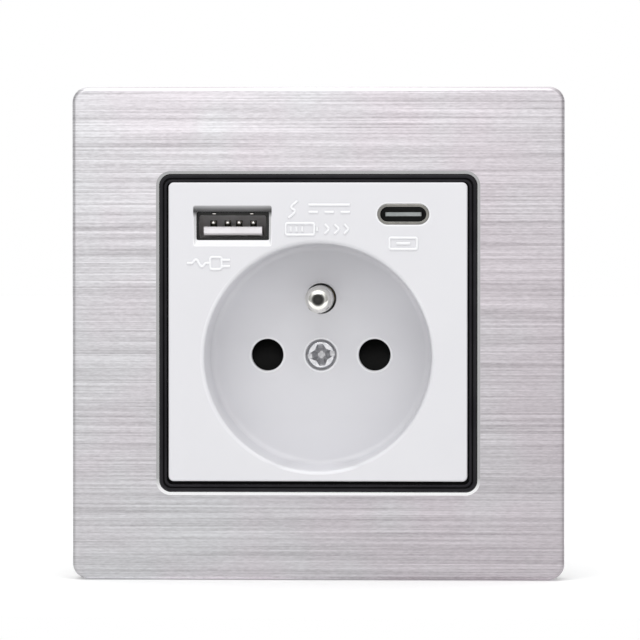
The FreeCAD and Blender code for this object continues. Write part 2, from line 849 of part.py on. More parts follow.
def terminal_clamps():
    """Folded cages, open above and below, tapped at the rear."""
    cages = []
    for x in terminal_places():
        outer = block(
            x - clamp_w / 2, x + clamp_w / 2, clamp_front(), clamp_front() + clamp_deep,
            clamp_z - clamp_h / 2, clamp_z + clamp_h / 2,
        )
        uprights = [edge for edge in outer.Edges if edge.BoundBox.ZLength > clamp_h - 0.1]
        outer = outer.makeFillet(clamp_t * 0.8, uprights)
        hollow = block(
            x - clamp_w / 2 + clamp_t, x + clamp_w / 2 - clamp_t,
            clamp_front() + clamp_t, clamp_front() + clamp_deep - clamp_t,
            clamp_z - clamp_h, clamp_z + clamp_h,
        )
        middle = clamp_front() + clamp_deep / 2
        tapped = rod(x, clamp_z, terminal_screw_d, middle, middle + clamp_deep)
        cages.append(outer.cut([hollow, tapped]))
    return cages


def terminal_screws():
    """Clamp screws, reached through the rear of the base."""
    solids = []
    for x in terminal_places():
        tip = wire_y() + wire_hole_d / 2 - 0.3
        head_y = clamp_front() + clamp_deep + 0.9
        shank = rod(x, clamp_z, terminal_screw_d, tip, head_y)
        shank = shank.makeChamfer(0.6, edges_at_y(shank, tip))
        head = rod(x, clamp_z, terminal_head_d, clamp_front() + clamp_deep, head_y)
        slot = block(x - 3, x + 3, head_y - 0.6, head_y + 1, clamp_z - 0.4, clamp_z + 0.4)
        solids.append(fuse(shank, head).cut(slot))
    return solids


def claw():
    """Right-hand claw: channel with two toothed arms, hinged on half-sheared stubs."""
    x, y = claw_x, claw_pivot_y
    rear = y + claw_reach
    outer = x + claw_out
    inner = x - claw_eye
    tip = outer + claw_tooth
    low_tip = rear - claw_tooth_pitch
    outline = [
        (x + claw_eye, y), (outer, y + claw_heel), (outer, low_tip - claw_tooth_run), (tip, low_tip),
        (outer, low_tip + claw_tooth), (outer, rear - claw_tooth_run), (tip, rear), (outer, rear),
        (inner, rear - claw_out - claw_eye), (inner, y),
    ]
    corners = [Vector(a, b, 0) for a, b in outline]
    eye = Part.Arc(corners[-1], Vector(x, y - claw_eye, 0), corners[0]).toShape()
    sides = [Part.makeLine(a, b) for a, b in zip(corners, corners[1:])]
    arm = Part.Face(Part.Wire([eye] + sides)).extrude(Vector(0, 0, claw_t))
    arms = []
    for z in (claw_z - claw_gap / 2 - claw_t, claw_z + claw_gap / 2):
        solid = arm.copy()
        solid.translate(Vector(0, 0, z))
        arms.append(solid)
    web = block(
        outer - claw_web, outer, y + claw_web_start, low_tip - claw_tooth_run,
        claw_z - claw_gap / 2 - 0.2, claw_z + claw_gap / 2 + 0.2,
    )
    half = claw_gap / 2 + claw_t
    stubs = [
        post(x, y, claw_stub_d, claw_z - half - claw_stub, claw_z - half + 0.2),
        post(x, y, claw_stub_d, claw_z + half - 0.2, claw_z + half + claw_stub),
    ]
    return fuse(arms[0], arms[1], web, *stubs)


def claw_nut():
    """Right-hand cross nut behind the arms' sloping ends."""
    half = claw_gap / 2 + claw_t + 0.5
    y0 = claw_pivot_y + claw_reach + 0.1
    nut = block(
        claw_x - nut_w / 2, claw_x + nut_w / 2, y0, y0 + nut_t, claw_z - half, claw_z + half,
    )
    ends = [edge for edge in nut.Edges if edge.BoundBox.YLength > nut_t - 0.1]
    nut = nut.makeChamfer(0.6, ends)
    return nut.cut(rod(claw_x, claw_z, claw_screw_d + 2 * running_fit, y0 - 1, y0 + nut_t + 1))


def claw_screws():
    """Long screws that draw the cross nuts forwards."""
    return [
        screw(
            x, claw_z, mount_y, claw_screw_head_d, claw_screw_head_t, claw_screw_d,
            claw_screw_length + mount_t,
        )
        for x in (-claw_x, claw_x)
    ]


def charger_board():
    """T-shaped board: wide where the ports stand, narrow inside the round base."""
    front = plate_y + plate_panel + 0.4
    wide = block(-board_front_half, board_front_half, front, board_front_back, board_z, board_z + board_t)
    tail = block(
        -board_tail_half, board_tail_half, board_front_back - 1, board_tail_back, board_z, board_z + board_t,
    )
    board = fuse(wide, tail)
    cuts = []
    for side in (-1, 1):
        cuts.append(leg_box(side, port_fit, board_z + board_t))
    return board.cut(cuts)


def leg_box(side, grow, top):
    """Solder leg of the wide port's shell, on one side."""
    x = usb_a_x + side * (usb_a_w / 2 + usb_a_wall / 2)
    half = usb_a_wall / 2 + grow
    y = usb_a_mouth_y() + usb_a_length * 0.5
    return block(x - half, x + half, y - 1 - grow, y + 1 + grow, usb_a_z, top + grow)


def usb_a_mouth_y():
    """Front edge of the wide port's shell, just behind the chamfered mouth."""
    return plate_y + usb_a_mouth_deep + 0.05


def usb_a_shell():
    """Folded sheet shell, open in front, with a closed back and two legs through the board."""
    y = usb_a_mouth_y()
    back = y + usb_a_length
    grow = 2 * usb_a_wall
    outer = slab(usb_a_w + grow, usb_a_h + grow, 0.5, y, back, usb_a_x, usb_a_z)
    inner = slab(usb_a_w, usb_a_h, 0.25, y - 1, back - usb_a_wall, usb_a_x, usb_a_z)
    legs = [leg_box(side, 0, board_z + board_t + usb_a_leg_proud) for side in (-1, 1)]
    return fuse(outer, *legs).cut(inner)


def usb_a_tongue():
    """Moulded block at the back of the shell with its tongue, grooved for the contacts."""
    y = usb_a_mouth_y()
    back = y + usb_a_length - usb_a_wall
    half_h = usb_a_h / 2
    rear = slab(usb_a_w, usb_a_h, 0.25, back - 2.2, back, usb_a_x, usb_a_z)
    low = usb_a_z - half_h + usb_a_tongue_low
    tongue = block(
        usb_a_x - usb_a_tongue_w / 2, usb_a_x + usb_a_tongue_w / 2,
        y + 0.5, back - 2, low, low + usb_a_tongue_h,
    )
    tip = [edge for edge in edges_at_y(tongue, y + 0.5) if edge.BoundBox.XLength > 1]
    tongue = tongue.makeChamfer(0.35, tip)
    body = fuse(rear, tongue)
    grooves = []
    for dx in usb_a_pitches:
        x = usb_a_x + dx
        grooves.append(block(x - 0.55, x + 0.55, y + 1.3, back - 2.2, low + usb_a_tongue_h - 0.3, low + 3))
    return body.cut(grooves)


def usb_a_contacts():
    """Four gilt springs lying in the tongue's grooves."""
    y = usb_a_mouth_y()
    back = y + usb_a_length - usb_a_wall - 2.2 - port_fit / 2
    floor = usb_a_z - usb_a_h / 2 + usb_a_tongue_low + usb_a_tongue_h - 0.3
    solids = []
    for dx in usb_a_pitches:
        x = usb_a_x + dx
        points = [
            Vector(x, y + 1.4, floor + 0.12), Vector(x, y + 2.6, floor + usb_a_spring_rise),
            Vector(x, y + 3.8, floor + usb_a_spring_rise), Vector(x, back, floor + 0.12),
        ]
        solids.append(strip_solid(points, 0.3, 0.2, Vector(0.9, 0, 0)))
    return solids


def usb_c_shell():
    """Drawn stadium shell, open in front and closed behind."""
    y = plate_y + usb_c_recess
    outer = slab(usb_c_w, usb_c_h, usb_c_h / 2, y, y + usb_c_length, usb_c_x, usb_c_z)
    inner_h = usb_c_h - 2 * usb_c_wall
    inner = slab(
        usb_c_w - 2 * usb_c_wall, inner_h, inner_h / 2, y - 1, y + usb_c_length - 0.3, usb_c_x, usb_c_z,
    )
    outer = outer.makeFillet(0.12, edges_at_y(outer, y))
    return outer.cut(inner)


def usb_c_tongue():
    """Central tongue on its block at the back of the shell."""
    y = plate_y + usb_c_recess
    back = y + usb_c_length - 0.3
    inner_h = usb_c_h - 2 * usb_c_wall
    rear = slab(usb_c_w - 2 * usb_c_wall, inner_h, inner_h / 2, back - 1.6, back, usb_c_x, usb_c_z)
    half_w, half_h = usb_c_tongue_w / 2, usb_c_tongue_h / 2
    tongue = block(
        usb_c_x - half_w, usb_c_x + half_w, y + 0.9, back - 1.4, usb_c_z - half_h, usb_c_z + half_h,
    )
    corners = [edge for edge in tongue.Edges if edge.BoundBox.ZLength > usb_c_tongue_h - 0.05]
    tongue = tongue.makeFillet(0.3, [edge for edge in corners if edge.BoundBox.YMin < y + 1])
    return fuse(rear, tongue)


def usb_c_contacts():
    """Flush contact pads on both faces of the small tongue."""
    y = plate_y + usb_c_recess
    back = y + usb_c_length - 0.3 - 1.6
    solids = []
    count = int(usb_c_tongue_w / usb_c_pitch)
    for index in range(count):
        x = usb_c_x + (index - (count - 1) / 2) * usb_c_pitch
        for side in (-1, 1):
            near = usb_c_z + side * usb_c_tongue_h / 2
            z0, z1 = sorted((near, near + side * 0.05))
            solids.append(block(x - 0.16, x + 0.16, y + 1.5, back, z0, z1))
    return solids


def transformer_core():
    """Two E halves, drawn as one closed frame with its middle leg."""
    z1 = board_z - core_drop
    z0 = z1 - core_h
    y0, y1 = core_y - core_deep / 2, core_y + core_deep / 2
    frame = block(-core_w / 2, core_w / 2, y0, y1, z0, z1)
    for side in (-1, 1):
        x0, x1 = sorted((side * bobbin_bore / 2, side * (core_w / 2 - core_leg)))
        frame = frame.cut(block(x0, x1, y0 - 1, y1 + 1, z0 + core_leg, z1 - core_leg))
    uprights = [edge for edge in frame.Edges if edge.BoundBox.YLength > core_deep - 0.1]
    outer = [edge for edge in uprights if abs(edge.BoundBox.XMin) > core_w / 2 - 0.1]
    return frame.makeFillet(0.4, outer)


def transformer_bobbin():
    """Bobbin and winding as one round body on the middle leg, with end cheeks."""
    z1 = board_z - core_drop
    low, high = z1 - core_h + core_leg, z1 - core_leg
    half = core_w / 2 - core_leg
    deep = bobbin_deep / 2
    winding = post(0, core_y, bobbin_d, low, high)
    winding = winding.common(block(-half, half, core_y - deep, core_y + deep, low, high))
    cheeks = [
        block(-half, half, core_y - deep, core_y + deep, low, low + cheek_t),
        block(-half, half, core_y - deep, core_y + deep, high - cheek_t, high),
    ]
    leg = block(-bobbin_bore / 2, bobbin_bore / 2, core_y - core_deep / 2, core_y + core_deep / 2, low, high)
    return fuse(winding, *cheeks).cut(leg)


def can(x, y, d, h):
    """Electrolytic capacitor hanging below the board, with its rolled groove."""
    body = post(x, y, d, board_z - h, board_z)
    body = body.makeFillet(0.4, [edge for edge in body.Edges if abs(edge.BoundBox.ZMax - board_z + h) < 0.01])
    groove = post(x, y, d + 1, board_z - 1.6, board_z - 1.2).cut(post(x, y, d - 0.5, board_z - 2, board_z))
    return body.cut(groove)


def controller_chip():
    """Moulded chip under the board with bevelled sides and eight legs."""
    y = core_y - chip_ahead
    z0, z1 = board_z - chip_t - 0.1, board_z - 0.1
    x = chip_x
    body = block(x - chip_w / 2, x + chip_w / 2, y - chip_deep / 2, y + chip_deep / 2, z0, z1)
    body = body.makeChamfer(0.25, [edge for edge in body.Edges if edge.BoundBox.ZMax < z0 + 0.01])
    legs = []
    for index in range(4):
        at = x + (index - 1.5) * 1.27
        for side in (-1, 1):
            a, b = sorted((y + side * (chip_deep / 2 - 0.2), y + side * (chip_deep / 2 + 0.9)))
            legs.append(block(at - 0.2, at + 0.2, a, b, z1 - 0.2, board_z))
    return fuse(body, *legs)


def supply_lead(side):
    """Insulated lead from a contact's side, up beside the base wall and in to the board."""
    y = contact_start + contact_length / 2
    start = side * (live_x + contact_open / 2 + strip)
    wall = side * (waist_half - base_wall - lead_d)
    inner = side * (board_tail_half - lead_d)
    low = well_z - contact_h / 4
    high = shelf_z + base_wall + 2.6
    points = [
        Vector(start, y, low), Vector(wall, y, low), Vector(wall, y, high),
        Vector(inner, y, high), Vector(inner, y, board_z),
    ]
    ring = Part.Wire(Part.makeCircle(lead_d / 2, points[0], Vector(1, 0, 0)))
    return path(points, 1.6).makePipeShell([ring], True, False)


os.makedirs("parts", exist_ok=True)
save("metal_faceplate", metal_faceplate())
save("trim_frame", trim_frame())
save("centre_plate", centre_plate())
save("cover_screw", cover_screw())
save("earth_pin", earth_pin())
save("mounting_plate", mounting_plate())
save("socket_base", socket_base())
save("base_screws", *base_screws())
save("contact_cover", contact_cover())
save("cover_plate_screws", *cover_plate_screws())
save("safety_shutter", safety_shutter())
save("shutter_spring", shutter_spring())
save("live_contact", pin_contact(-live_x))
save("neutral_contact", pin_contact(live_x))
save("earth_bracket", earth_bracket())
save("terminal_clamps", *terminal_clamps())
save("terminal_screws", *terminal_screws())
save("claw_right", claw())
save("claw_left", mirror_x(claw()))
save("claw_nut_right", claw_nut())
save("claw_nut_left", mirror_x(claw_nut()))
save("claw_screws", *claw_screws())
save("charger_board", charger_board())
save("usb_a_shell", usb_a_shell())
save("usb_a_tongue", usb_a_tongue())
save("usb_a_contacts", *usb_a_contacts())
save("usb_c_shell", usb_c_shell())
save("usb_c_tongue", usb_c_tongue())
save("usb_c_contacts", *usb_c_contacts())
save("transformer_core", transformer_core())
save("transformer_bobbin", transformer_bobbin())
save("input_capacitor", can(input_can_x, core_y - input_can_ahead, input_can_d, input_can_h))
save("output_capacitor", can(output_can_x, core_y - output_can_ahead, output_can_d, output_can_h))
save("controller_chip", controller_chip())
save("supply_leads", supply_lead(-1), supply_lead(1))
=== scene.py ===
"""Flush wall socket with two charging ports, dressed round its construction model.

The object is in metres: X runs right as seen from the room, Z up and Y into the wall.
Sizes below are in millimetres, and MM turns them into metres.
"""

import json
import math
from contextlib import contextmanager

import bmesh
import bpy
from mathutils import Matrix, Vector
from mathutils.geometry import tessellate_polygon

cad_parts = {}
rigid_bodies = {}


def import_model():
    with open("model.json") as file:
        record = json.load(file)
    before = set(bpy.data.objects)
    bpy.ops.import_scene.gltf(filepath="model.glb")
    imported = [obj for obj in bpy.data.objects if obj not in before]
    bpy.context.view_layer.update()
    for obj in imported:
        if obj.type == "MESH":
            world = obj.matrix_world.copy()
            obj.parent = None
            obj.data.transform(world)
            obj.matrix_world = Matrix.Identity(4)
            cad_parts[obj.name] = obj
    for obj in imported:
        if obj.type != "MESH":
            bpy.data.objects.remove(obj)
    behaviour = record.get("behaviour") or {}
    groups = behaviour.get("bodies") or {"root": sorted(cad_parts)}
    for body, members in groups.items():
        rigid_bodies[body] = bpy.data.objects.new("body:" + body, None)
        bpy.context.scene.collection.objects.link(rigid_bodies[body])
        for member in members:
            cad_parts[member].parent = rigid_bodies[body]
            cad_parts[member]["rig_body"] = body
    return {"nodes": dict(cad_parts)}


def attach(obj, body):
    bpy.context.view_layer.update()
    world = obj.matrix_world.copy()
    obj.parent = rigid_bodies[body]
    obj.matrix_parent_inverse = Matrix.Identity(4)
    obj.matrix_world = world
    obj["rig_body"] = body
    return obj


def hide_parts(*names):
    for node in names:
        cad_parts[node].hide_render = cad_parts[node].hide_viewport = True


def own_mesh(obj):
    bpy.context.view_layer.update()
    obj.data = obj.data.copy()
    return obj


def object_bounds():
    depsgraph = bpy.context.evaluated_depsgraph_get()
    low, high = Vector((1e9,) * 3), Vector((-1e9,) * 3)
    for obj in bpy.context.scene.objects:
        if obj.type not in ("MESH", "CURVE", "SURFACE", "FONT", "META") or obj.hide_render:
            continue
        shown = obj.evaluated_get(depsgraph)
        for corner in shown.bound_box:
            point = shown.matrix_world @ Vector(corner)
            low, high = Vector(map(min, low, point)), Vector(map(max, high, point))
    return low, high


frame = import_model()
cad_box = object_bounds()


# Mounting plate: pressed steel, zinc plated, screwed to the wall box. The plating is a soft grey with
# faint crystals. Its edges are slightly rounded by the press.

MM = 0.001


def add(tree, kind, inputs=(), **options):
    """New node with its options set and its inputs set or joined."""
    made = tree.nodes.new(kind)
    for option, value in options.items():
        setattr(made, option, value)
    for socket, value in dict(inputs).items():
        if isinstance(value, bpy.types.NodeSocket):
            tree.links.new(value, made.inputs[socket])
        else:
            made.inputs[socket].default_value = value
    return made


def noise(tree, place, scale, detail):
    """Cloudy pattern with values from 0 to 1."""
    made = add(tree, "ShaderNodeTexNoise", {"Vector": place, "Scale": scale, "Detail": detail})
    return made.outputs["Fac"]


def ranged(tree, value, start, end, low=0.0, high=1.0, **options):
    """Number that runs from low to high while the value runs from start to end."""
    return add(tree, "ShaderNodeMapRange", {
        "Value": value, "From Min": start, "From Max": end, "To Min": low, "To Max": high,
    }, **options).outputs[0]


def coloured(tree, value, stops):
    """Colour that follows a value through stops, each a place from 0 to 1 and a colour."""
    ramp = add(tree, "ShaderNodeValToRGB", {"Fac": value})
    marks = ramp.color_ramp.elements
    while len(marks) < len(stops):
        marks.new(0.5)
    for mark, (spot, colour) in zip(marks, stops):
        mark.position = spot
        mark.color = (*colour, 1)
    return ramp.outputs["Color"]


def new_material(name):
    """Plain material with its node tree, its shader and the object's own coordinates."""
    material = bpy.data.materials.new(name)
    material.use_nodes = True
    tree = material.node_tree
    return material, tree, tree.nodes["Principled BSDF"], add(tree, "ShaderNodeTexCoord").outputs["Object"]


def roughened(tree, pattern, start, end, gloss, spread, relief):
    """Gives the tree's shader an uneven gloss and a fine bump from one pattern."""
    shader = tree.nodes["Principled BSDF"]
    uneven = ranged(tree, pattern, start, end, gloss - spread, gloss + spread)
    tree.links.new(uneven, shader.inputs["Roughness"])
    bump = add(tree, "ShaderNodeBump", {"Height": pattern, "Distance": relief * MM})
    tree.links.new(bump.outputs[0], shader.inputs["Normal"])


def finish(name, light, dark, gloss, spread, cloud, grain, relief, stretch=(1, 1, 1), **sockets):
    """Surface with clouded colour, uneven gloss and a fine grain.

    cloud and grain are the sizes of the colour's patches and of the grain, and relief is the height of
    the grain, in millimetres.
    """
    material, tree, shader, place = new_material(name)
    drawn = add(tree, "ShaderNodeMapping", {"Vector": place, "Scale": stretch}).outputs[0]
    tint = coloured(tree, noise(tree, drawn, 1 / (cloud * MM), 4.0), ((0.35, dark), (0.65, light)))
    tree.links.new(tint, shader.inputs["Base Color"])
    roughened(tree, noise(tree, drawn, 1 / (grain * MM), 3.0), 0.3, 0.7, gloss, spread, relief)
    for socket, value in sockets.items():
        shader.inputs[socket.replace("_", " ")].default_value = value
    return material


@contextmanager
def reworked(mesh):
    """Opens a mesh for some steps of mesh work and keeps what they make."""
    work = bmesh.new()
    work.from_mesh(mesh)
    yield work
    work.to_mesh(mesh)
    work.free()


def placed(name, data):
    """New object in the scene."""
    made = bpy.data.objects.new(name, data)
    bpy.context.collection.objects.link(made)
    return made


def keep_flats(made, sharp=40):
    """Smooth shading that leaves flat faces flat and hard edges hard."""
    made.data.shade_smooth()
    made.data.set_sharp_from_angle(angle=math.radians(sharp))
    made.modifiers.new("flats", "WEIGHTED_NORMAL").keep_sharp = True
    return made


def eased(node, material, edge, name):
    """The node's own solid with its edges eased by a small bevel, standing for the node."""
    mesh = frame["nodes"][node].data.copy()
    mesh.name = name
    with reworked(mesh) as work:
        bmesh.ops.remove_doubles(work, verts=work.verts, dist=0.001 * MM)
        bmesh.ops.dissolve_limit(
            work, angle_limit=math.radians(0.5), verts=work.verts, edges=work.edges,
        )
    mesh.materials.clear()
    mesh.materials.append(material)
    made = placed(name, mesh)
    if edge:
        bevel = made.modifiers.new("edge", "BEVEL")
        bevel.width = edge * MM
        bevel.segments = 2
        bevel.limit_method = "ANGLE"
        bevel.angle_limit = math.radians(38)
    keep_flats(made)
    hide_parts(node)
    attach(made, frame["nodes"][node]["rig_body"])
    return made


zinc = finish(
    "zinc_plating", (0.66, 0.67, 0.69), (0.50, 0.51, 0.53),
    gloss=0.34, spread=0.08, cloud=2.2, grain=0.25, relief=0.004, Metallic=1.0,
)
eased("mounting_plate", zinc, 0.12, "pressed_plate")


# Socket base: one moulding in light grey polyamide that holds the contacts and the charger. The mould
# leaves a fine spark-eroded grain.

grey_polyamide = finish(
    "grey_polyamide", (0.55, 0.56, 0.57), (0.535, 0.545, 0.555),
    gloss=0.48, spread=0.05, cloud=9.0, grain=0.18, relief=0.006,
)
eased("socket_base", grey_polyamide, 0.15, "moulded_base")


# Base screws: four thread-forming screws of zinc-plated steel, with domed and slotted heads. They go
# through the mounting plate into the base.

def number(tree, operation, *values):
    """Result of one step of arithmetic on numbers or sockets."""
    return add(tree, "ShaderNodeMath", dict(enumerate(values)), operation=operation).outputs[0]


def vector(tree, operation, *values):
    """Result of one step of arithmetic on vectors: a vector, or a number for a length."""
    made = add(tree, "ShaderNodeVectorMath", dict(enumerate(values)), operation=operation)
    return made.outputs["Value" if operation == "LENGTH" else "Vector"]


def combined(tree, **parts):
    """Vector with the given X, Y and Z."""
    return add(tree, "ShaderNodeCombineXYZ", parts).outputs[0]


def new_tree(name, sizes):
    """Empty Geometry Nodes tree that takes points, a material and named sizes."""
    tree = bpy.data.node_groups.new(name, "GeometryNodeTree")
    tree.interface.new_socket("Geometry", in_out="OUTPUT", socket_type="NodeSocketGeometry")
    tree.interface.new_socket("Points", in_out="INPUT", socket_type="NodeSocketGeometry")
    tree.interface.new_socket("Material", in_out="INPUT", socket_type="NodeSocketMaterial")
    for size in sizes:
        tree.interface.new_socket(size, in_out="INPUT", socket_type="NodeSocketFloat")
    return tree, tree.nodes.new("NodeGroupInput").outputs


def stand(tree, given, shape, turn=0.0):
    """Stands the shape on every point, turned about X."""
    return add(tree, "GeometryNodeInstanceOnPoints", {
        "Points": given["Points"], "Instance": shape, "Rotation": combined(tree, X=turn),
    }).outputs[0]


def close_tree(tree, given, shape):
    """Ends the tree with plain geometry in the given material."""
    real = add(tree, "GeometryNodeRealizeInstances", {"Geometry": shape}).outputs[0]
    dressed = add(tree, "GeometryNodeSetMaterial", {"Geometry": real, "Material": given["Material"]})
    end = tree.nodes.new("NodeGroupOutput")
    tree.links.new(dressed.outputs[0], end.inputs[0])
    return tree


def moved(tree, shape, **place):
    """The shape at a new place."""
    return add(tree, "GeometryNodeTransform", {
        "Geometry": shape, "Translation": combined(tree, **place),
    }).outputs[0]


def helix(tree, steps, turns, radius, height):
    """Line that winds up round Z, in so many steps a turn."""
    return add(tree, "GeometryNodeCurveSpiral", {
        "Resolution": steps, "Rotations": turns, "Start Radius": radius, "End Radius": radius,
        "Height": height,
    }).outputs[0]


def rod(tree, path, sides, radius):
    """Round rod along a path, closed at its ends."""
    ring = add(tree, "GeometryNodeCurvePrimitiveCircle", {"Resolution": sides, "Radius": radius})
    return add(tree, "GeometryNodeCurveToMesh", {
        "Curve": path, "Profile Curve": ring.outputs[0], "Fill Caps": True,
    }).outputs[0]


def grow(name, tree, points, material, sizes, edges=()):
    """Runs a tree once on some points and edges, and keeps what it makes as a plain mesh."""
    seed = bpy.data.meshes.new(name)
    seed.from_pydata([[MM * c for c in point] for point in points], edges, [])
    made = placed(name, seed)
    nodes = made.modifiers.new(name, "NODES")
    nodes.node_group = tree
    for socket in tree.interface.items_tree:
        if socket.name == "Material":
            nodes[socket.identifier] = material
        elif socket.name in sizes:
            nodes[socket.identifier] = float(sizes[socket.name])
    graph = bpy.context.evaluated_depsgraph_get()
    made.data = bpy.data.meshes.new_from_object(made.evaluated_get(graph))
    made.modifiers.clear()
    with reworked(made.data) as work:
        bmesh.ops.remove_doubles(work, verts=work.verts, dist=0.0005 * MM)
        bmesh.ops.recalc_face_normals(work, faces=work.faces)
    return keep_flats(made)


def screw_tree():
    """Tree of slotted screws: a head that falls away to its rim, and a core with a thread round it."""
    tree, given = new_tree("fastener", [
        "Head Radius", "Head Height", "Shank Radius", "Length", "Pitch", "Slot Width", "Slot Depth", "Turn",
    ])
    head = add(tree, "GeometryNodeMeshCylinder", {
        "Vertices": 48, "Side Segments": 2, "Fill Segments": 7,
        "Radius": given["Head Radius"], "Depth": given["Head Height"],
    }, fill_type="TRIANGLE_FAN").outputs
    spot = add(tree, "GeometryNodeInputPosition").outputs[0]
    reach = vector(tree, "LENGTH", vector(tree, "MULTIPLY", spot, (1, 1, 0)))
    share = number(tree, "POWER", number(tree, "DIVIDE", reach, given["Head Radius"]), 4.0)
    drop = number(tree, "MULTIPLY", number(tree, "MULTIPLY", share, given["Head Height"]), -0.42)
    domed = add(tree, "GeometryNodeSetPosition", {
        "Geometry": head["Mesh"], "Selection": head["Top"], "Offset": combined(tree, Z=drop),
    }).outputs[0]
    half_head = number(tree, "MULTIPLY", given["Head Height"], 0.5)
    across_head = number(tree, "MULTIPLY", given["Head Radius"], 2.4)
    both_ways = number(tree, "MULTIPLY", given["Slot Depth"], 2.0)
    cutter = add(tree, "GeometryNodeMeshCube", {
        "Size": combined(tree, X=across_head, Y=given["Slot Width"], Z=both_ways),
    }).outputs["Mesh"]
    slotted = add(tree, "GeometryNodeMeshBoolean", {
        "Mesh 1": domed, "Mesh 2": moved(tree, cutter, Z=half_head),
    }, operation="DIFFERENCE", solver="EXACT").outputs["Mesh"]
    crest = number(tree, "MULTIPLY", given["Pitch"], 0.28)
    core_r = number(tree, "SUBTRACT", given["Shank Radius"], crest)
    core = add(tree, "GeometryNodeMeshCylinder", {
        "Vertices": 28, "Radius": core_r, "Depth": given["Length"],
    }).outputs["Mesh"]
    plain_ends = number(tree, "MULTIPLY", given["Pitch"], 2.0)
    threaded = number(tree, "SUBTRACT", given["Length"], plain_ends)
    turns = number(tree, "DIVIDE", threaded, given["Pitch"])
    thread = rod(tree, helix(tree, 28, turns, core_r, threaded), 4, crest)
    core_middle = number(tree, "MULTIPLY", given["Length"], -0.5)
    thread_foot = number(tree, "SUBTRACT", given["Pitch"], given["Length"])
    joined = add(tree, "GeometryNodeJoinGeometry")
    for part, height in ((slotted, half_head), (core, core_middle), (thread, thread_foot)):
        tree.links.new(moved(tree, part, Z=height), joined.inputs[0])
    return close_tree(tree, given, stand(tree, given, joined.outputs[0], given["Turn"]))


HEAD_TO_ROOM = math.pi / 2
HEAD_TO_WALL = -math.pi / 2
slotted_screws = screw_tree()
bright_zinc = finish(
    "bright_zinc", (0.74, 0.75, 0.78), (0.62, 0.63, 0.66),
    gloss=0.22, spread=0.05, cloud=1.2, grain=0.2, relief=0.002, Metallic=1.0,
)


def screws(name, places, turn, head_r, head_high, shank_r, length, pitch, slot_wide, slot_deep):
    """One zinc-plated screw at each place, its head turned to the room or to the wall."""
    return grow(name, slotted_screws, places, bright_zinc, {
        "Head Radius": head_r * MM, "Head Height": head_high * MM, "Shank Radius": shank_r * MM,
        "Length": length * MM, "Pitch": pitch * MM, "Slot Width": slot_wide * MM,
        "Slot Depth": slot_deep * MM, "Turn": turn,
    })


plate_front = -1.2
base_screws = screws(
    "base_screw_set",
    [(side * x, plate_front, z) for side in (-1, 1) for x, z in ((22.9, 5.6), (18.6, -19.4))],
    HEAD_TO_ROOM, head_r=2.6, head_high=1.6, shank_r=1.44, length=9.0, pitch=1.0,
    slot_wide=0.8, slot_deep=0.8,
)
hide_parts("base_screws")
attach(base_screws, "insert")


# Contact cover: grey moulding over the contacts, on which the shutter slides. Two small slotted screws
# of zinc-plated steel hold it to the base.

eased("contact_cover", grey_polyamide, 0.1, "moulded_contact_cover")
cover_front = 10.2
cover_screws = screws(
    "cover_screw_pair", [(x, cover_front, 5.4) for x in (-14.4, 14.4)],
    HEAD_TO_ROOM, head_r=1.9, head_high=1.1, shank_r=1.1, length=7.0, pitch=0.8,
    slot_wide=0.7, slot_deep=0.5,
)
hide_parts("cover_plate_screws")
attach(cover_screws, "insert")


# Safety shutter: dark acetal fork whose two blades close the live holes. It slides down over the
# contact cover, and a coil of bright piano wire below pushes it back up.

dark_acetal = finish(
    "dark_acetal", (0.006, 0.006, 0.006), (0.004, 0.004, 0.004),
    gloss=0.55, spread=0.06, cloud=4.0, grain=0.12, relief=0.004, Specular_IOR_Level=0.1,
)
eased("safety_shutter", dark_acetal, 0.12, "shutter_fork")


def coil_tree():
    """Tree of coil springs with their feet on the points."""
    tree, given = new_tree("coil", ["Turns", "Coil Radius", "Wire Radius", "Height"])
    rise = helix(tree, 40, given["Turns"], given["Coil Radius"], given["Height"])
    return close_tree(tree, given, stand(tree, given, rod(tree, rise, 12, given["Wire Radius"])))


piano_wire = finish(
    "piano_wire", (0.60, 0.60, 0.62), (0.45, 0.45, 0.47),
    gloss=0.25, spread=0.06, cloud=1.0, grain=0.15, relief=0.002, Metallic=1.0,
)
spring_foot = -24.325
wire_r = 0.25
spring = grow(
    "return_spring", coil_tree(), [(0, 8.3, spring_foot + wire_r)], piano_wire,
    {"Turns": 7.0, "Coil Radius": 1.55 * MM, "Wire Radius": wire_r * MM, "Height": 10.5 * MM},
)
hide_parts("shutter_spring")
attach(spring, "insert")
spring.modifiers.clear()
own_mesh(spring)


# Contacts, earth bracket and terminal cages: brass strip, stamped and folded, slightly dulled. The
# contacts spring on the plug's pins, and a clamp screw presses each wire into its cage.

brass = finish(
    "rolled_brass", (0.78, 0.57, 0.27), (0.66, 0.46, 0.20),
    gloss=0.26, spread=0.07, cloud=3.0, grain=0.2, relief=0.003, stretch=(1, 1, 0.2), Metallic=1.0,
)
for node, name, edge in (
    ("live_contact", "live_clip", 0.06), ("neutral_contact", "neutral_clip", 0.06),
    ("earth_bracket", "earth_strip", 0.08), ("terminal_clamps", "terminal_cages", 0.08),
):
    eased(node, brass, edge, name)
clamp_back = 24.85
terminal_screws = screws(
    "terminal_screw_set", [(x, clamp_back, -19.6) for x in (-9.5, 0, 9.5)],
    HEAD_TO_WALL, head_r=2.4, head_high=0.9, shank_r=1.75, length=5.0, pitch=0.7,
    slot_wide=0.8, slot_deep=0.6,
)
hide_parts("terminal_screws")
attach(terminal_screws, "insert")


# Charger: green circuit board with its ferrite transformer, two sleeved capacitors and a chip. Two
# insulated leads join it to the contacts.

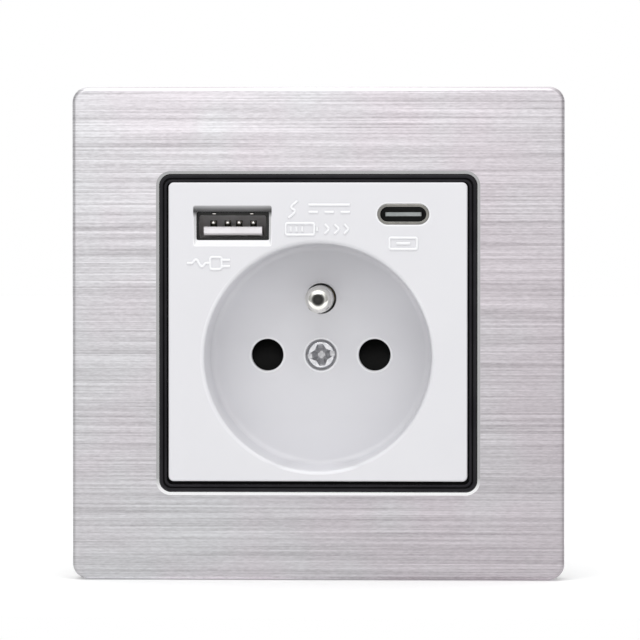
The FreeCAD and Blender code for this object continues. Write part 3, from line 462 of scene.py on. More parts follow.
solder_mask = finish(
    "solder_mask", (0.030, 0.16, 0.065), (0.020, 0.12, 0.05),
    gloss=0.30, spread=0.05, cloud=2.5, grain=0.3, relief=0.006,
)
ferrite = finish(
    "ferrite", (0.085, 0.085, 0.09), (0.05, 0.05, 0.055),
    gloss=0.55, spread=0.08, cloud=1.5, grain=0.12, relief=0.01,
)
tape = finish(
    "winding_tape", (0.78, 0.55, 0.07), (0.66, 0.45, 0.05),
    gloss=0.35, spread=0.06, cloud=3.0, grain=0.2, relief=0.008, stretch=(1, 1, 5),
)
sleeve = finish(
    "can_sleeve", (0.018, 0.022, 0.05), (0.012, 0.014, 0.035),
    gloss=0.25, spread=0.04, cloud=3.0, grain=0.3, relief=0.003,
)
epoxy = finish(
    "chip_epoxy", (0.022, 0.022, 0.023), (0.016, 0.016, 0.017),
    gloss=0.55, spread=0.06, cloud=1.5, grain=0.08, relief=0.005,
)
sheath = finish(
    "lead_sheath", (0.10, 0.14, 0.36), (0.07, 0.10, 0.28),
    gloss=0.38, spread=0.05, cloud=2.0, grain=0.2, relief=0.004,
)
for node, material, edge, name, slot in (
    ("charger_board", solder_mask, 0.06, "circuit_board", "board_green"),
    ("transformer_core", ferrite, 0.15, "ferrite_core", "ferrite"),
    ("transformer_bobbin", tape, 0.1, "wound_bobbin", "winding_tape"),
    ("input_capacitor", sleeve, 0.0, "input_can", "can_sleeve"),
    ("output_capacitor", sleeve, 0.0, "output_can", "can_sleeve"),
    ("controller_chip", epoxy, 0.04, "chip", "black_moulding"),
    ("supply_leads", sheath, 0.0, "supply_lead_pair", "lead_sheath"),
):
    eased(node, material, edge, name)


# Wide port: folded, plated sheet shell with a white tongue that carries four gilt springs. A black
# comb and lining round the tongue stand for the shade there, as painted shade, and the tips of two
# sprung fingers show in the roof.

def mixed(tree, share, first, second, way="MIX"):
    """Colour between two others, or their product."""
    return add(
        tree, "ShaderNodeMix", {0: share, 6: first, 7: second}, data_type="RGBA", blend_type=way,
    ).outputs[2]


def toned(material, where, stops):
    """Paints light and shade into a material's colour along an axis, or by the distance from a line that
    runs along Y.

    where is the axis's letter or the line's X and Z. Each stop is a place or a distance in millimetres
    and the factor on the colour there.
    """
    tree = material.node_tree
    base_colour = tree.nodes["Principled BSDF"].inputs["Base Color"]
    place = add(tree, "ShaderNodeTexCoord").outputs["Object"]
    if isinstance(where, str):
        along = add(tree, "ShaderNodeSeparateXYZ", {"Vector": place}).outputs[where]
    else:
        from_line = vector(tree, "SUBTRACT", place, (where[0] * MM, 0, where[1] * MM))
        along = vector(tree, "LENGTH", vector(tree, "MULTIPLY", from_line, (1, 0, 1)))
    low = stops[0][0]
    high = stops[-1][0]
    share = ranged(tree, along, low * MM, high * MM)
    tones = [((spot - low) / (high - low), (factor, factor, factor)) for spot, factor in stops]
    tint = base_colour.links[0].from_socket
    tree.links.new(mixed(tree, 1.0, tint, coloured(tree, share, tones), "MULTIPLY"), base_colour)


wide_x = -14.9
wide_z = 18.5
wide_front = -9.55
tongue_top = 18.35
port_plating_painted_shade = finish(
    "port_plating_painted_shade", (0.50, 0.47, 0.44), (0.40, 0.375, 0.35),
    gloss=0.30, spread=0.07, cloud=1.5, grain=0.2, relief=0.003, Metallic=1.0,
)
# The plating is painted dark in a band just inside the mouth, as painted shade.
toned(port_plating_painted_shade, "Y", (
    (wide_front, 0.5), (wide_front + 0.5, 0.12), (wide_front + 2.2, 1.0), (-0.4, 1.0),
))
port_white = finish(
    "port_white", (0.78, 0.76, 0.78), (0.72, 0.70, 0.72),
    gloss=0.42, spread=0.05, cloud=2.0, grain=0.1, relief=0.003,
)
# The tongue's white is painted a little darker just behind its front face, as painted shade.
toned(port_white, "Y", (
    (wide_front + 0.5, 1.0), (wide_front + 0.9, 1.0), (wide_front + 1.6, 0.9), (-2.0, 1.0),
))
gilding = finish(
    "gilding", (0.97, 0.95, 0.90), (0.93, 0.90, 0.84),
    gloss=0.22, spread=0.05, cloud=1.0, grain=0.1, relief=0.001, Metallic=1.0,
)
shade_painted_gilding = finish(
    "shade_painted_gilding", (0.90, 0.84, 0.70), (0.84, 0.76, 0.60),
    gloss=0.3, spread=0.05, cloud=1.0, grain=0.1, relief=0.001, Metallic=1.0,
)
# The springs are painted nearly black below their crests, as painted shade.
toned(shade_painted_gilding, "Z", (
    (tongue_top - 0.4, 0.03), (tongue_top + 0.55, 0.03), (tongue_top + 0.8, 0.9), (20, 1.0),
))
# Near-black for the comb and lining: dark pieces put where there is only shade, as painted shade.
painted_shade_black = finish(
    "painted_shade_black", (0.009, 0.009, 0.009), (0.006, 0.006, 0.006),
    gloss=0.5, spread=0.06, cloud=2.0, grain=0.1, relief=0.003,
)
eased("usb_a_shell", port_plating_painted_shade, 0.05, "wide_port_shell")
eased("usb_a_tongue", port_white, 0.06, "wide_port_tongue")
eased("usb_a_contacts", shade_painted_gilding, 0.04, "wide_port_springs")


def bead_tree():
    """Tree of small oval beads on the points."""
    tree, given = new_tree("bead", ["Half Width", "Half Height", "Half Depth"])
    ball = add(tree, "GeometryNodeMeshUVSphere", {"Segments": 24, "Rings": 12, "Radius": 1.0})
    bead = add(tree, "GeometryNodeTransform", {
        "Geometry": ball.outputs["Mesh"],
        "Scale": combined(tree, X=given["Half Width"], Y=given["Half Depth"], Z=given["Half Height"]),
    }).outputs[0]
    return close_tree(tree, given, stand(tree, given, bead))


def tooth_tree():
    """Tree of square teeth on the points."""
    tree, given = new_tree("tooth", ["Width", "Height", "Depth"])
    tooth = add(tree, "GeometryNodeMeshCube", {
        "Size": combined(tree, X=given["Width"], Y=given["Depth"], Z=given["Height"]),
    }).outputs["Mesh"]
    return close_tree(tree, given, stand(tree, given, tooth))


beads = bead_tree()
spring_places = [wide_x + step for step in (-3.5, -1.0, 1.0, 3.5)]
crests = grow(
    "wide_port_spring_crests", beads,
    [(x, wide_front + 2.1, tongue_top + 0.7) for x in spring_places], gilding,
    {"Half Width": 0.40 * MM, "Half Height": 0.38 * MM, "Half Depth": 0.34 * MM},
)
# The comb is a dark piece standing for the shade round the springs: painted shade.
comb = grow(
    "wide_port_shade_comb", tooth_tree(),
    [(x, wide_front + 2.95, tongue_top + 0.5) for x in spring_places], painted_shade_black,
    {"Width": 1.16 * MM, "Height": 1.15 * MM, "Depth": 0.25 * MM},
)
fingers = grow(
    "wide_port_roof_fingers", beads,
    [(wide_x + step, wide_front + 0.75, wide_z + 2.14) for step in (-3.3, 3.3)], gilding,
    {"Half Width": 0.42 * MM, "Half Height": 0.16 * MM, "Half Depth": 0.3 * MM},
)
for piece, slot in ((crests, "gilt"), (comb, "black_moulding"), (fingers, "port_steel")):
    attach(piece, "insert")


def oblong(half_x, half_z, corner, y, cx=0.0, cz=0.0, steps=10):
    """Loop round a rectangle with rounded corners."""
    loop = []
    for quarter_turn, (sx, sz) in enumerate(((1, 1), (-1, 1), (-1, -1), (1, -1))):
        for step in range(steps + 1):
            angle = math.pi / 2 * (quarter_turn + step / steps)
            loop.append((
                cx + sx * (half_x - corner) + corner * math.cos(angle), y,
                cz + sz * (half_z - corner) + corner * math.sin(angle),
            ))
    return loop


def shell(name, loops, material, ends=True):
    """Mesh through matching loops, closed by a flat lid at each end or by its last loop."""
    mesh = bpy.data.meshes.new(name)
    with reworked(mesh) as work:
        rows = [[work.verts.new([MM * c for c in point]) for point in loop] for loop in loops]
        for row, after in zip(rows, rows[1:]):
            for here in range(len(row)):
                there = (here + 1) % len(row)
                work.faces.new((row[here], row[there], after[there], after[here]))
        if ends:
            for row, loop in ((rows[0], loops[0]), (rows[-1], loops[-1])):
                for triangle in tessellate_polygon([[Vector(point) for point in loop]]):
                    work.faces.new([row[index] for index in triangle])
        bmesh.ops.remove_doubles(work, verts=work.verts, dist=0.0005 * MM)
        bmesh.ops.dissolve_degenerate(work, edges=work.edges, dist=0.0005 * MM)
        bmesh.ops.recalc_face_normals(work, faces=work.faces)
    mesh.materials.append(material)
    return placed(name, mesh)


lining_front = wide_front + 0.95
lining_back = wide_front + 1.2
wide_lining = [
    oblong(6.33, 2.48, 0.3, y, wide_x, wide_z, 4) for y in (lining_back, lining_front)
]
wide_lining += [
    oblong(5.84, 1.95, 0.35, y, wide_x - 0.07, wide_z - 0.1, 4) for y in (lining_front, lining_back)
]
wide_lining.append(wide_lining[0])
# The lining is a dark sheet standing for the shade inside the mouth: painted shade.
lining = keep_flats(shell("wide_port_shade_lining", wide_lining, painted_shade_black, ends=False))
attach(lining, "insert")


# Small port: drawn, nickel-plated shell with round ends. Inside it stands a grey tongue, moulded
# round flush gilt pads. The shell is painted near black behind its front rim, the tongue behind its
# front face and the pads near the front, as painted shade.

shell_plating_painted_shade = finish(
    "shell_plating_painted_shade", (0.31, 0.30, 0.28), (0.25, 0.245, 0.23),
    gloss=0.2, spread=0.05, cloud=1.5, grain=0.2, relief=0.002, Metallic=1.0,
)
small_front = -10.45
# The shell is painted near black behind its front rim, as painted shade.
toned(shell_plating_painted_shade, "Y", (
    (small_front, 1.0), (small_front + 0.12, 0.9), (small_front + 0.3, 0.03), (-5, 0.02),
))
tongue_grey_painted_shade = finish(
    "tongue_grey_painted_shade", (0.36, 0.38, 0.38), (0.30, 0.32, 0.32),
    gloss=0.4, spread=0.05, cloud=1.0, grain=0.1, relief=0.003,
)
# The tongue is painted near black behind its front face, as painted shade.
toned(tongue_grey_painted_shade, "Y", (
    (small_front + 0.9, 1.0), (small_front + 1.3, 1.0), (small_front + 1.6, 0.05), (-5, 0.02),
))
pad_gilding_painted_shade = finish(
    "pad_gilding_painted_shade", (0.90, 0.84, 0.70), (0.84, 0.76, 0.60),
    gloss=0.18, spread=0.05, cloud=1.0, grain=0.1, relief=0.001, Metallic=1.0,
)
# The pads are painted dark near the front, as painted shade.
toned(pad_gilding_painted_shade, "Y", (
    (small_front + 0.8, 0.05), (small_front + 1.6, 0.05), (small_front + 2.6, 1.0), (-5, 1.0),
))
eased("usb_c_shell", shell_plating_painted_shade, 0.04, "small_port_shell")
eased("usb_c_tongue", tongue_grey_painted_shade, 0.04, "small_port_tongue")
eased("usb_c_contacts", pad_gilding_painted_shade, 0.0, "small_port_pads")


# Spreading claws: bent channels of zinc-plated steel with two toothed arms each. Two long screws draw
# their cross nuts forwards, and the nuts push the arms out against the wall box.

for side in ("right", "left"):
    eased("claw_" + side, zinc, 0.08, "toothed_claw_" + side)
    eased("claw_nut_" + side, zinc, 0.12, "cross_nut_" + side)
claw_screws = screws(
    "claw_screw_pair", [(x, plate_front, -6.8) for x in (-24.9, 24.9)],
    HEAD_TO_ROOM, head_r=2.7, head_high=1.8, shank_r=1.48, length=25.8, pitch=0.6,
    slot_wide=0.8, slot_deep=0.9,
)
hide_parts("claw_screws")
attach(claw_screws, "insert")


# Earth pin: turned brass with bright nickel plating, rounded at its tip. It is held in the earth
# bracket and comes out through the well's floor.

pin_z = 5.6
nickel = finish(
    "nickel_painted_reflection", (0.96, 0.95, 0.90), (0.90, 0.89, 0.84),
    gloss=0.15, spread=0.03, cloud=1.5, grain=0.3, relief=0.001, Metallic=1.0,
)
# The tip is painted dark round its centre, out to about 1.2 mm, as a painted dark reflection.
toned(nickel, (0, pin_z), ((0.0, 0.06), (0.75, 0.04), (1.0, 0.13), (1.3, 1.0), (2.4, 1.0)))
eased("earth_pin", nickel, 0.0, "plated_earth_pin")


# Centre plate: one satin white moulding with a skirt behind it. The round well is drafted for the
# mould, and every edge that a hand or a plug meets is rounded. Raised picture marks tell the ports.

over = 0.5


def circle(radius, y, cx, cz, count=64):
    """Loop round a circle."""
    turns = [2 * math.pi * step / count for step in range(count)]
    return [(cx + radius * math.cos(turn), y, cz + radius * math.sin(turn)) for turn in turns]


def quarter(radius, steps=5):
    """Rounded edge as pairs of inset from the side and depth from the front."""
    turns = [math.pi / 2 * step / steps for step in range(steps + 1)]
    return [(radius * (1 - math.sin(turn)), radius * (1 - math.cos(turn))) for turn in turns]


def entry(rim, steps=5):
    """Rounded edge of a hole, led in from clear of its surface."""
    return [(rim, -over)] + quarter(rim, steps)


def level(made, sharp=40):
    """Smooth shading for a cut piece, whose flat faces stay exactly flat up to their rounded edges."""
    mesh = made.data
    mesh.shade_smooth()
    mesh.set_sharp_from_angle(angle=math.radians(sharp))
    normals = [corner.vector.copy() for corner in mesh.corner_normals]
    least_area = 0.02 * MM ** 2
    least_likeness = math.cos(math.radians(24))
    flats = {}
    for face in mesh.polygons:
        if abs(face.normal.y) > 0.9999 and face.area > least_area:
            for corner, vertex in zip(face.loop_indices, face.vertices):
                normals[corner] = flats[vertex] = face.normal.copy()
    for face in mesh.polygons:
        for corner, vertex in zip(face.loop_indices, face.vertices):
            flat = flats.get(vertex)
            if flat and face.normal.dot(flat) > least_likeness:
                normals[corner] = flat
    mesh.normals_split_custom_set(normals)


def shaped(piece, tools, operation="DIFFERENCE"):
    """Cuts the tools out of a piece, or joins them to it, one by one."""
    for tool in tools:
        tool.modifiers.clear()
        step = piece.modifiers.new("shape", "BOOLEAN")
        step.operation = operation
        step.solver = "EXACT"
        step.object = tool
        step.material_mode = "TRANSFER"
    graph = bpy.context.evaluated_depsgraph_get()
    mesh = bpy.data.meshes.new_from_object(piece.evaluated_get(graph))
    piece.modifiers.clear()
    piece.data = mesh
    for tool in tools:
        bpy.data.objects.remove(tool)


satin = {"gloss": 0.36, "spread": 0.03, "cloud": 14.0, "grain": 0.10, "relief": 0.0015}
satin_white = finish("satin_white", (0.700, 0.698, 0.722), (0.686, 0.684, 0.709), **satin)

plate_y = -10.6
panel_back = plate_y + 2.0
skirt_back = -3.4
plate_half = 26.075
plate_corner = 0.9
skirt_half = plate_half - 0.65
skirt_inner = skirt_half - 1.2
plate_edge = 0.35
moulded = [
    oblong(plate_half - inset, plate_half - inset, plate_corner - inset, plate_y + depth)
    for inset, depth in quarter(plate_edge)
]
moulded += [
    oblong(half, half, plate_corner, y) for half, y in (
        (plate_half, panel_back), (skirt_half, panel_back), (skirt_half, skirt_back),
        (skirt_inner, skirt_back), (skirt_inner, panel_back),
    )
]
plate = shell("white_centre_plate", moulded, satin_white)

floor_y = 4.4
floor_back = 6.4
boss_back = floor_back + 2.0
boss_r = 4.2
well_z = -4.4
well_r = 19.85
floor_r = 19.588
tube_wall = 1.4
well_count = 160
draft = (well_r - floor_r) / (floor_y - plate_y)
tube = [
    circle(well_r + tube_wall - draft * (y - plate_y), y, 0, well_z, well_count)
    for y in (panel_back - over, floor_back)
]
boss = [circle(boss_r, y, 0, well_z) for y in (floor_back - over, boss_back)]
shaped(plate, [shell("tube", tube, satin_white), shell("boss", boss, satin_white)], "UNION")

well_rim = 0.7
floor_fillet = 1.2
well_steps = 8
well = [
    circle(well_r + inset, plate_y + depth, 0, well_z, well_count)
    for inset, depth in entry(well_rim, well_steps)
]
for step in range(well_steps + 1):
    turn = math.pi / 2 * step / well_steps
    y = floor_y - floor_fillet * (1 - math.sin(turn))
    wall = well_r - draft * (y - plate_y)
    well.append(circle(wall - floor_fillet * (1 - math.cos(turn)), y, 0, well_z, well_count))
well_white_painted_light = finish("well_white_painted_light", (0.712, 0.710, 0.735), (0.698, 0.696, 0.722), **satin)
# The well takes a lighter copy of the plate's white, painted in bands lighter low down and darker towards
# its top, and lighter to the left, as painted light and shade.
toned(well_white_painted_light, "Z", (
    (-24.9, 1.08), (-24.0, 1.08), (-23.3, 0.95), (-22.6, 1.03), (-15.6, 0.98), (-1.6, 0.99), (6.2, 1.05),
    (10.6, 0.99), (16.2, 0.94),
))
toned(well_white_painted_light, "X", ((-20.6, 1.06), (-10, 1.02), (0, 1.0), (20.6, 1.0)))
cuts = [shell("well", well, well_white_painted_light)]

live_x = 9.5
live_r = 2.825
pin_hole_r = 2.7
hole_rim = 0.08
for x, z, radius in ((-live_x, well_z, live_r), (live_x, well_z, live_r), (0, pin_z, pin_hole_r)):
    bore = [circle(radius + inset, floor_y + depth, x, z) for inset, depth in entry(hole_rim)]
    bore.append(circle(radius, floor_back + over, x, z))
    cuts.append(shell("bore", bore, satin_white))
seat_r = 2.75
seat_rim = 0.16
seat_y = floor_y + 1.5
screw_hole_r = 1.95
seat = [circle(seat_r + inset, floor_y + depth, 0, well_z) for inset, depth in entry(seat_rim)]
seat += [
    circle(radius, y, 0, well_z)
    for radius, y in ((seat_r, seat_y), (screw_hole_r, seat_y), (screw_hole_r, boss_back + over))
]
cuts.append(shell("seat", seat, satin_white))

# A whiter copy of the plate's white for the raised marks, the small lips round the holes and the small
# port's mouth, as a painted highlight.
painted_highlight_white = finish(
    "painted_highlight_white", (0.84, 0.845, 0.86), (0.82, 0.825, 0.84),
    gloss=0.30, spread=0.03, cloud=14.0, grain=0.10, relief=0.0015,
)
# The lips are small raised rings round the holes in the whiter white, standing for a bright rim: painted
# highlight.
lip_out = 0.16
lip_half = 0.14
lip_high = 0.06
lip_steps = 12
lips = []
for x, radius in ((-live_x, live_r), (live_x, live_r), (0, seat_r)):
    lip = []
    for step in range(lip_steps + 1):
        turn = 2 * math.pi * step / lip_steps
        ring_r = radius + hole_rim + lip_out - lip_half * math.cos(turn)
        lip.append(circle(ring_r, floor_y - lip_high * math.sin(turn), x, well_z))
    lips.append(shell("lip", lip, painted_highlight_white, ends=False))

# A lighter copy of the plate's white for the wide mouth, painted bright below as a painted highlight and
# dark on its upper chamfer as painted shade.
mouth_painted_light = finish("mouth_painted_light", (0.93, 0.93, 0.94), (0.90, 0.90, 0.92), **satin)
toned(mouth_painted_light, "Z", (
    (wide_z - 3.5, 1.0), (wide_z + 1.5, 0.9), (wide_z + 2.5, 0.06), (wide_z + 2.9, 0.18),
    (wide_z + 3.5, 0.6),
))
wide_half_x = 6.75
wide_half_z = 3.45
wide_corner = 0.3
wide_rim = 0.12
throat_half_x = 6.35
throat_half_z = 2.5
throat_y = plate_y + 1.0
pocket_half_z = 2.9
pocket_corner = 0.5
wide_mouth = [
    oblong(wide_half_x + inset, wide_half_z + inset, wide_corner + inset, plate_y + depth, wide_x, wide_z)
    for inset, depth in entry(wide_rim, 3)
]
wide_mouth.append(oblong(throat_half_x, throat_half_z, wide_corner, throat_y, wide_x, wide_z))
wide_mouth += [
    oblong(wide_half_x, pocket_half_z, pocket_corner, y, wide_x, wide_z)
    for y in (throat_y, panel_back + over)
]
small_x = 14.9
small_z = 20.53
small_half_x = 4.51
small_half_z = 1.81
small_rim = 0.26
# The small mouth's cut faces take the whiter white, as a painted highlight.
small_mouth = [
    oblong(
        small_half_x + inset, small_half_z + inset, small_half_z + inset, plate_y + depth, small_x, small_z,
    )
    for inset, depth in entry(small_rim, 4) + [(0, panel_back + over - plate_y)]
]
cuts += [shell("wide_mouth", wide_mouth, mouth_painted_light), shell("small_mouth", small_mouth, painted_highlight_white)]
shaped(plate, cuts)
shaped(plate, lips, "UNION")
with reworked(plate.data) as work:
    bmesh.ops.remove_doubles(work, verts=work.verts, dist=0.002 * MM)
    bmesh.ops.dissolve_degenerate(work, edges=work.edges, dist=0.002 * MM)


def line_tree():
    """Tree of round ridges along drawn lines, with eased corners, merged where they meet."""
    tree, given = new_tree("raised_line", ["Line Radius", "Corner"])
    drawn = add(tree, "GeometryNodeMeshToCurve", {"Mesh": given["Points"]}).outputs[0]
    rounded = add(tree, "GeometryNodeFilletCurve", {
        "Curve": drawn, "Radius": given["Corner"], "Limit Radius": True, "Count": 5,
    }, mode="POLY").outputs[0]
    merged = add(tree, "GeometryNodeMeshBoolean", {
        "Mesh 2": rod(tree, rounded, 12, given["Line Radius"]), "Self Intersection": True,
    }, operation="UNION", solver="EXACT").outputs["Mesh"]
    return close_tree(tree, given, merged)


def box_line(x0, x1, z0, z1):
    """Closed line round a box."""
    return [(x0, z0), (x1, z0), (x1, z1), (x0, z1), (x0, z0)]


def mark_lines():
    """Lines of the picture marks: direct current, charge, battery, lead with its plug, small port."""
    sign_z = 22.17
    dash_z = 20.9
    lines = [[(-1.6, sign_z), (5.6, sign_z)]]
    lines += [[(x, dash_z), (x + 1.6, dash_z)] for x in (-1.6, 1.2, 4.0)]
    lines.append([(-3.5, 22.9), (-4.9, 21.7), (-3.7, 21.1), (-5.1, 19.9)])
    low = 16.95
    middle = 17.95
    high = 18.95
    lines += [box_line(-5.6, -0.6, low, high), [(-0.1, middle - 0.35), (-0.1, middle + 0.35)]]
    lines += [[(x, low + 0.55), (x, high - 0.55)] for x in (-4.7, -3.7, -2.7)]
    lines += [[(x, high - 0.15), (x + 0.85, middle), (x, low + 0.15)] for x in (1.2, 2.9, 4.6)]
    plug_z = 12.0
    lines.append([
        (-22.8, plug_z), (-21.9, plug_z), (-21.2, plug_z + 0.9), (-20.3, plug_z - 0.9),
        (-19.6, plug_z), (-18.8, plug_z),
    ])
    lines.append(box_line(-18.8, -16.8, plug_z - 1.05, plug_z + 1.05))
    lines += [[(-16.8, plug_z + side * 0.55), (-15.3, plug_z + side * 0.55)] for side in (-1, 1)]
    lines += [[(13.7, 15.44), (16.1, 15.44)], box_line(12.5, 17.3, 14.45, 16.43)]
    return lines


line_y = plate_y - 0.04
spots = []
edges = []
for line in mark_lines():
    first = len(spots)
    closes = line[0] == line[-1]
    spots += [(x, line_y, z) for x, z in (line[:-1] if closes else line)]
    edges += [(here, here + 1) for here in range(first, len(spots) - 1)]
    if closes:
        edges.append((len(spots) - 1, first))
raised_marks = grow(
    "raised_marks", line_tree(), spots, painted_highlight_white, {"Line Radius": 0.23 * MM, "Corner": 0.35 * MM}, edges,
)
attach(raised_marks, "insert")
level(plate)
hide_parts("centre_plate")
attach(plate, "insert")


# Trim carrier: black moulding behind the panel. Its lip stands through the panel's aperture as two
# beads with a groove between them. The black is painted lighter on the bead crests as a painted
# highlight, and darker in the groove and behind it as painted shade.

face_y = -9.5
crest_y = face_y - 0.55
gloss_black_painted_light = finish(
    "gloss_black_painted_light", (0.022, 0.021, 0.024), (0.016, 0.015, 0.018),
    gloss=0.20, spread=0.03, cloud=6.0, grain=0.25, relief=0.0015, Specular_IOR_Level=0.06,
)
# Lighter on the bead crests as a painted highlight, darkest in and just behind the groove as painted shade.
toned(gloss_black_painted_light, "Y", (
    (crest_y, 1.0), (crest_y + 0.14, 0.95), (crest_y + 0.3, 0.1), (crest_y + 1.0, 0.1),
    (-7.0, 0.35), (0, 0.35),
))
eased("trim_frame", gloss_black_painted_light, 0.0, "beaded_carrier")


# Face panel: aluminium sheet, drawn with a rolled edge, brushed from side to side and lacquered. Its
# colour is painted lighter on the rolled top and bottom edges, towards the top and to the left, as
# painted light. The cut edge round its square aperture is painted bright, most along its bottom, as a
# painted highlight.

sag = 0.25
face_half = 43.0
sheet = 1.0
warm_tint = (0.99, 0.925, 0.95)


def brushed(name, light, dark, layers, cloud, gloss, relief):
    """Metal with lines of several pitches from side to side over faint patches, warmer to the right.

    Each layer is the pitch and the length of its lines, in millimetres, and its weight. On the
    panel's top and bottom edges the lines follow each other from front to back.
    """
    material, tree, shader, place = new_material(name)
    split = add(tree, "ShaderNodeSeparateXYZ", {"Vector": place}).outputs
    height = number(tree, "ADD", split["Z"], sag * MM)
    folded = number(tree, "GREATER_THAN", number(tree, "ABSOLUTE", height), (face_half - 0.5) * MM)
    across = number(tree, "ADD", split["Z"], number(tree, "MULTIPLY", split["Y"], folded))
    unrolled = combined(tree, X=split["X"], Y=split["Y"], Z=across)
    lines = 0.5
    for pitch, length, weight in layers:
        scale = (1 / (length * MM), 1 / (length * MM), 1 / (pitch * MM))
        drawn = add(tree, "ShaderNodeMapping", {"Vector": unrolled, "Scale": scale}).outputs[0]
        layer = number(tree, "SUBTRACT", noise(tree, drawn, 1.0, 2.0), 0.5)
        lines = number(tree, "MULTIPLY_ADD", layer, weight, lines)
    tint = coloured(tree, lines, ((0.15, dark), (0.85, light)))
    patch = ranged(tree, noise(tree, place, 1 / (cloud * MM), 2.0), 0.35, 0.65, -0.2, 0.6)
    rightwards = ranged(tree, split["X"], -face_half * MM, face_half * MM)
    warmth = number(tree, "MULTIPLY_ADD", rightwards, 0.8, patch)
    warm = mixed(tree, 1.0, tint, (*warm_tint, 1), "MULTIPLY")
    tree.links.new(mixed(tree, warmth, tint, warm), shader.inputs["Base Color"])
    roughened(tree, lines, 0.2, 0.8, gloss, 0.05, relief)
    shader.inputs["Metallic"].default_value = 1.0
    shader.inputs["Anisotropic"].default_value = 0.7
    shader.inputs["Anisotropic Rotation"].default_value = 0.25
    return material


brushed_aluminium_painted_light = brushed(
    "brushed_aluminium_painted_light", (0.745, 0.748, 0.768), (0.37, 0.362, 0.375),
    layers=((0.55, 60.0, 0.55), (0.24, 45.0, 0.88), (0.17, 0.9, 0.50)),
    cloud=16.0, gloss=0.42, relief=0.002,
)
top_roll = face_half - sag
foot_roll = -face_half - sag
# Painted lighter on the rolled top and bottom edges and towards the top, darker below the middle, and
# lighter to the left: painted light.
toned(brushed_aluminium_painted_light, "Z", (
    (foot_roll, 1.6), (foot_roll + 0.12, 1.5), (foot_roll + 0.3, 1.0), (foot_roll + 0.6, 0.90),
    (-20, 0.94), (0, 0.99), (top_roll - 0.6, 1.10), (top_roll - 0.3, 1.4), (top_roll, 1.4),
))
toned(brushed_aluminium_painted_light, "X", ((-face_half, 1.03), (face_half, 0.955)))


def panel_loop(half, corner, y):
    """Loop round the panel at one level."""
    return oblong(half, half, corner, y, 0, -sag, 14)


hole_half = 27.675
hole_corner = 1.9
edge_wide = 0.65
edge_deep = 0.13
panel = [panel_loop(hole_half, hole_corner, face_y + sheet)]
for share, depth in ((0.0, 1.0), (0.12, 0.86), (0.88, 0.12), (0.95, 0.03), (1.0, 0.0)):
    inset = edge_wide * share
    panel.append(panel_loop(hole_half + inset, hole_corner + inset, face_y + edge_deep * depth))
face_corner = 2.7
face_roll = 0.75
panel += [
    panel_loop(face_half - inset, face_corner - inset, face_y + depth)
    for inset, depth in quarter(face_roll, 8)
]
back_y = face_y + 5.0
inner_half = face_half - sheet
inner_corner = face_corner - sheet
outer_ease = 0.12
inner_ease = 0.1
panel += [
    panel_loop(face_half, face_corner, back_y - outer_ease),
    panel_loop(face_half - outer_ease, face_corner - outer_ease, back_y),
    panel_loop(inner_half + inner_ease, inner_corner + inner_ease, back_y),
    panel_loop(inner_half, inner_corner, back_y - inner_ease),
    panel_loop(inner_half, inner_corner, face_y + sheet),
    panel[0],
]
face_panel = keep_flats(shell("brushed_face_panel", panel, brushed_aluminium_painted_light, ends=False))
# A near-white copy of the metal for the aperture's edge, painted brightest along its bottom side, as a
# painted highlight.
edge_painted_highlight = finish(
    "edge_painted_highlight", (0.98, 0.98, 0.99), (0.95, 0.95, 0.96),
    gloss=0.12, spread=0.03, cloud=3.0, grain=0.2, relief=0.0005, Metallic=1.0,
)
lit_edge = -hole_half - sag
toned(edge_painted_highlight, "Z", (
    (lit_edge - 1.0, 1.0), (lit_edge + 0.3, 1.0), (lit_edge + 2.4, 0.48), (-lit_edge, 0.48),
))
face_panel.data.materials.append(edge_painted_highlight)
edge_reach = (hole_half + edge_wide * 0.99) * MM
for face in face_panel.data.polygons:
    if max(abs(face.center.x), abs(face.center.z + sag * MM)) < edge_reach:
        face.material_index = 1
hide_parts("metal_faceplate")
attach(face_panel, "insert")


# Central screw: zinc-plated steel with a cross recess crossed by a slot. It is sunk in its seat in the
# well's floor and holds the plate and the trim carrier to the insert.

screw_turn = math.radians(6.5)


def about_screw(along, across, angle, y):
    """Point beside the screw's axis, turned about it."""
    return (
        along * math.cos(angle) - across * math.sin(angle), y,
        well_z + along * math.sin(angle) + across * math.cos(angle),
    )


def cross(reach, arm, throat, y):
    """Loop round a cross with eased inner corners."""
    loop = []
    for quarter_turn in range(4):
        angle = math.pi / 2 * quarter_turn + screw_turn
        for along, across in ((reach, arm), (throat, throat), (arm, reach)):
            loop.append(about_screw(along, across, angle, y))
    return loop


head_r = 2.4
head_edge = 0.32
head_y = floor_y + 0.2
dome = 0.22
shank_r = 1.75
tip_r = 1.15
tip_y = 18.0
profile = [(head_r * share, head_y + dome * share ** 2) for share in (0.25, 0.5, 0.7)]
profile += [
    (head_r - inset, head_y + dome * 0.75 + depth) for inset, depth in quarter(head_edge, 5)
]
profile += [(head_r, seat_y), (shank_r, seat_y), (shank_r, tip_y - (shank_r - tip_r)), (tip_r, tip_y)]
head_zinc_painted_shade = finish(
    "head_zinc_painted_shade", (0.86, 0.86, 0.88), (0.66, 0.67, 0.70),
    gloss=0.24, spread=0.06, cloud=0.9, grain=0.25, relief=0.004, Metallic=1.0,
)
# The zinc is painted darker behind the head, on the seat side and the shank, as painted shade.
toned(head_zinc_painted_shade, "Y", ((head_y, 1.0), (head_y + 0.45, 1.0), (head_y + 0.8, 0.75), (head_y + 2.2, 0.5)))
central_screw = shell("central_screw", [circle(r, y, 0, well_z) for r, y in profile], head_zinc_painted_shade)
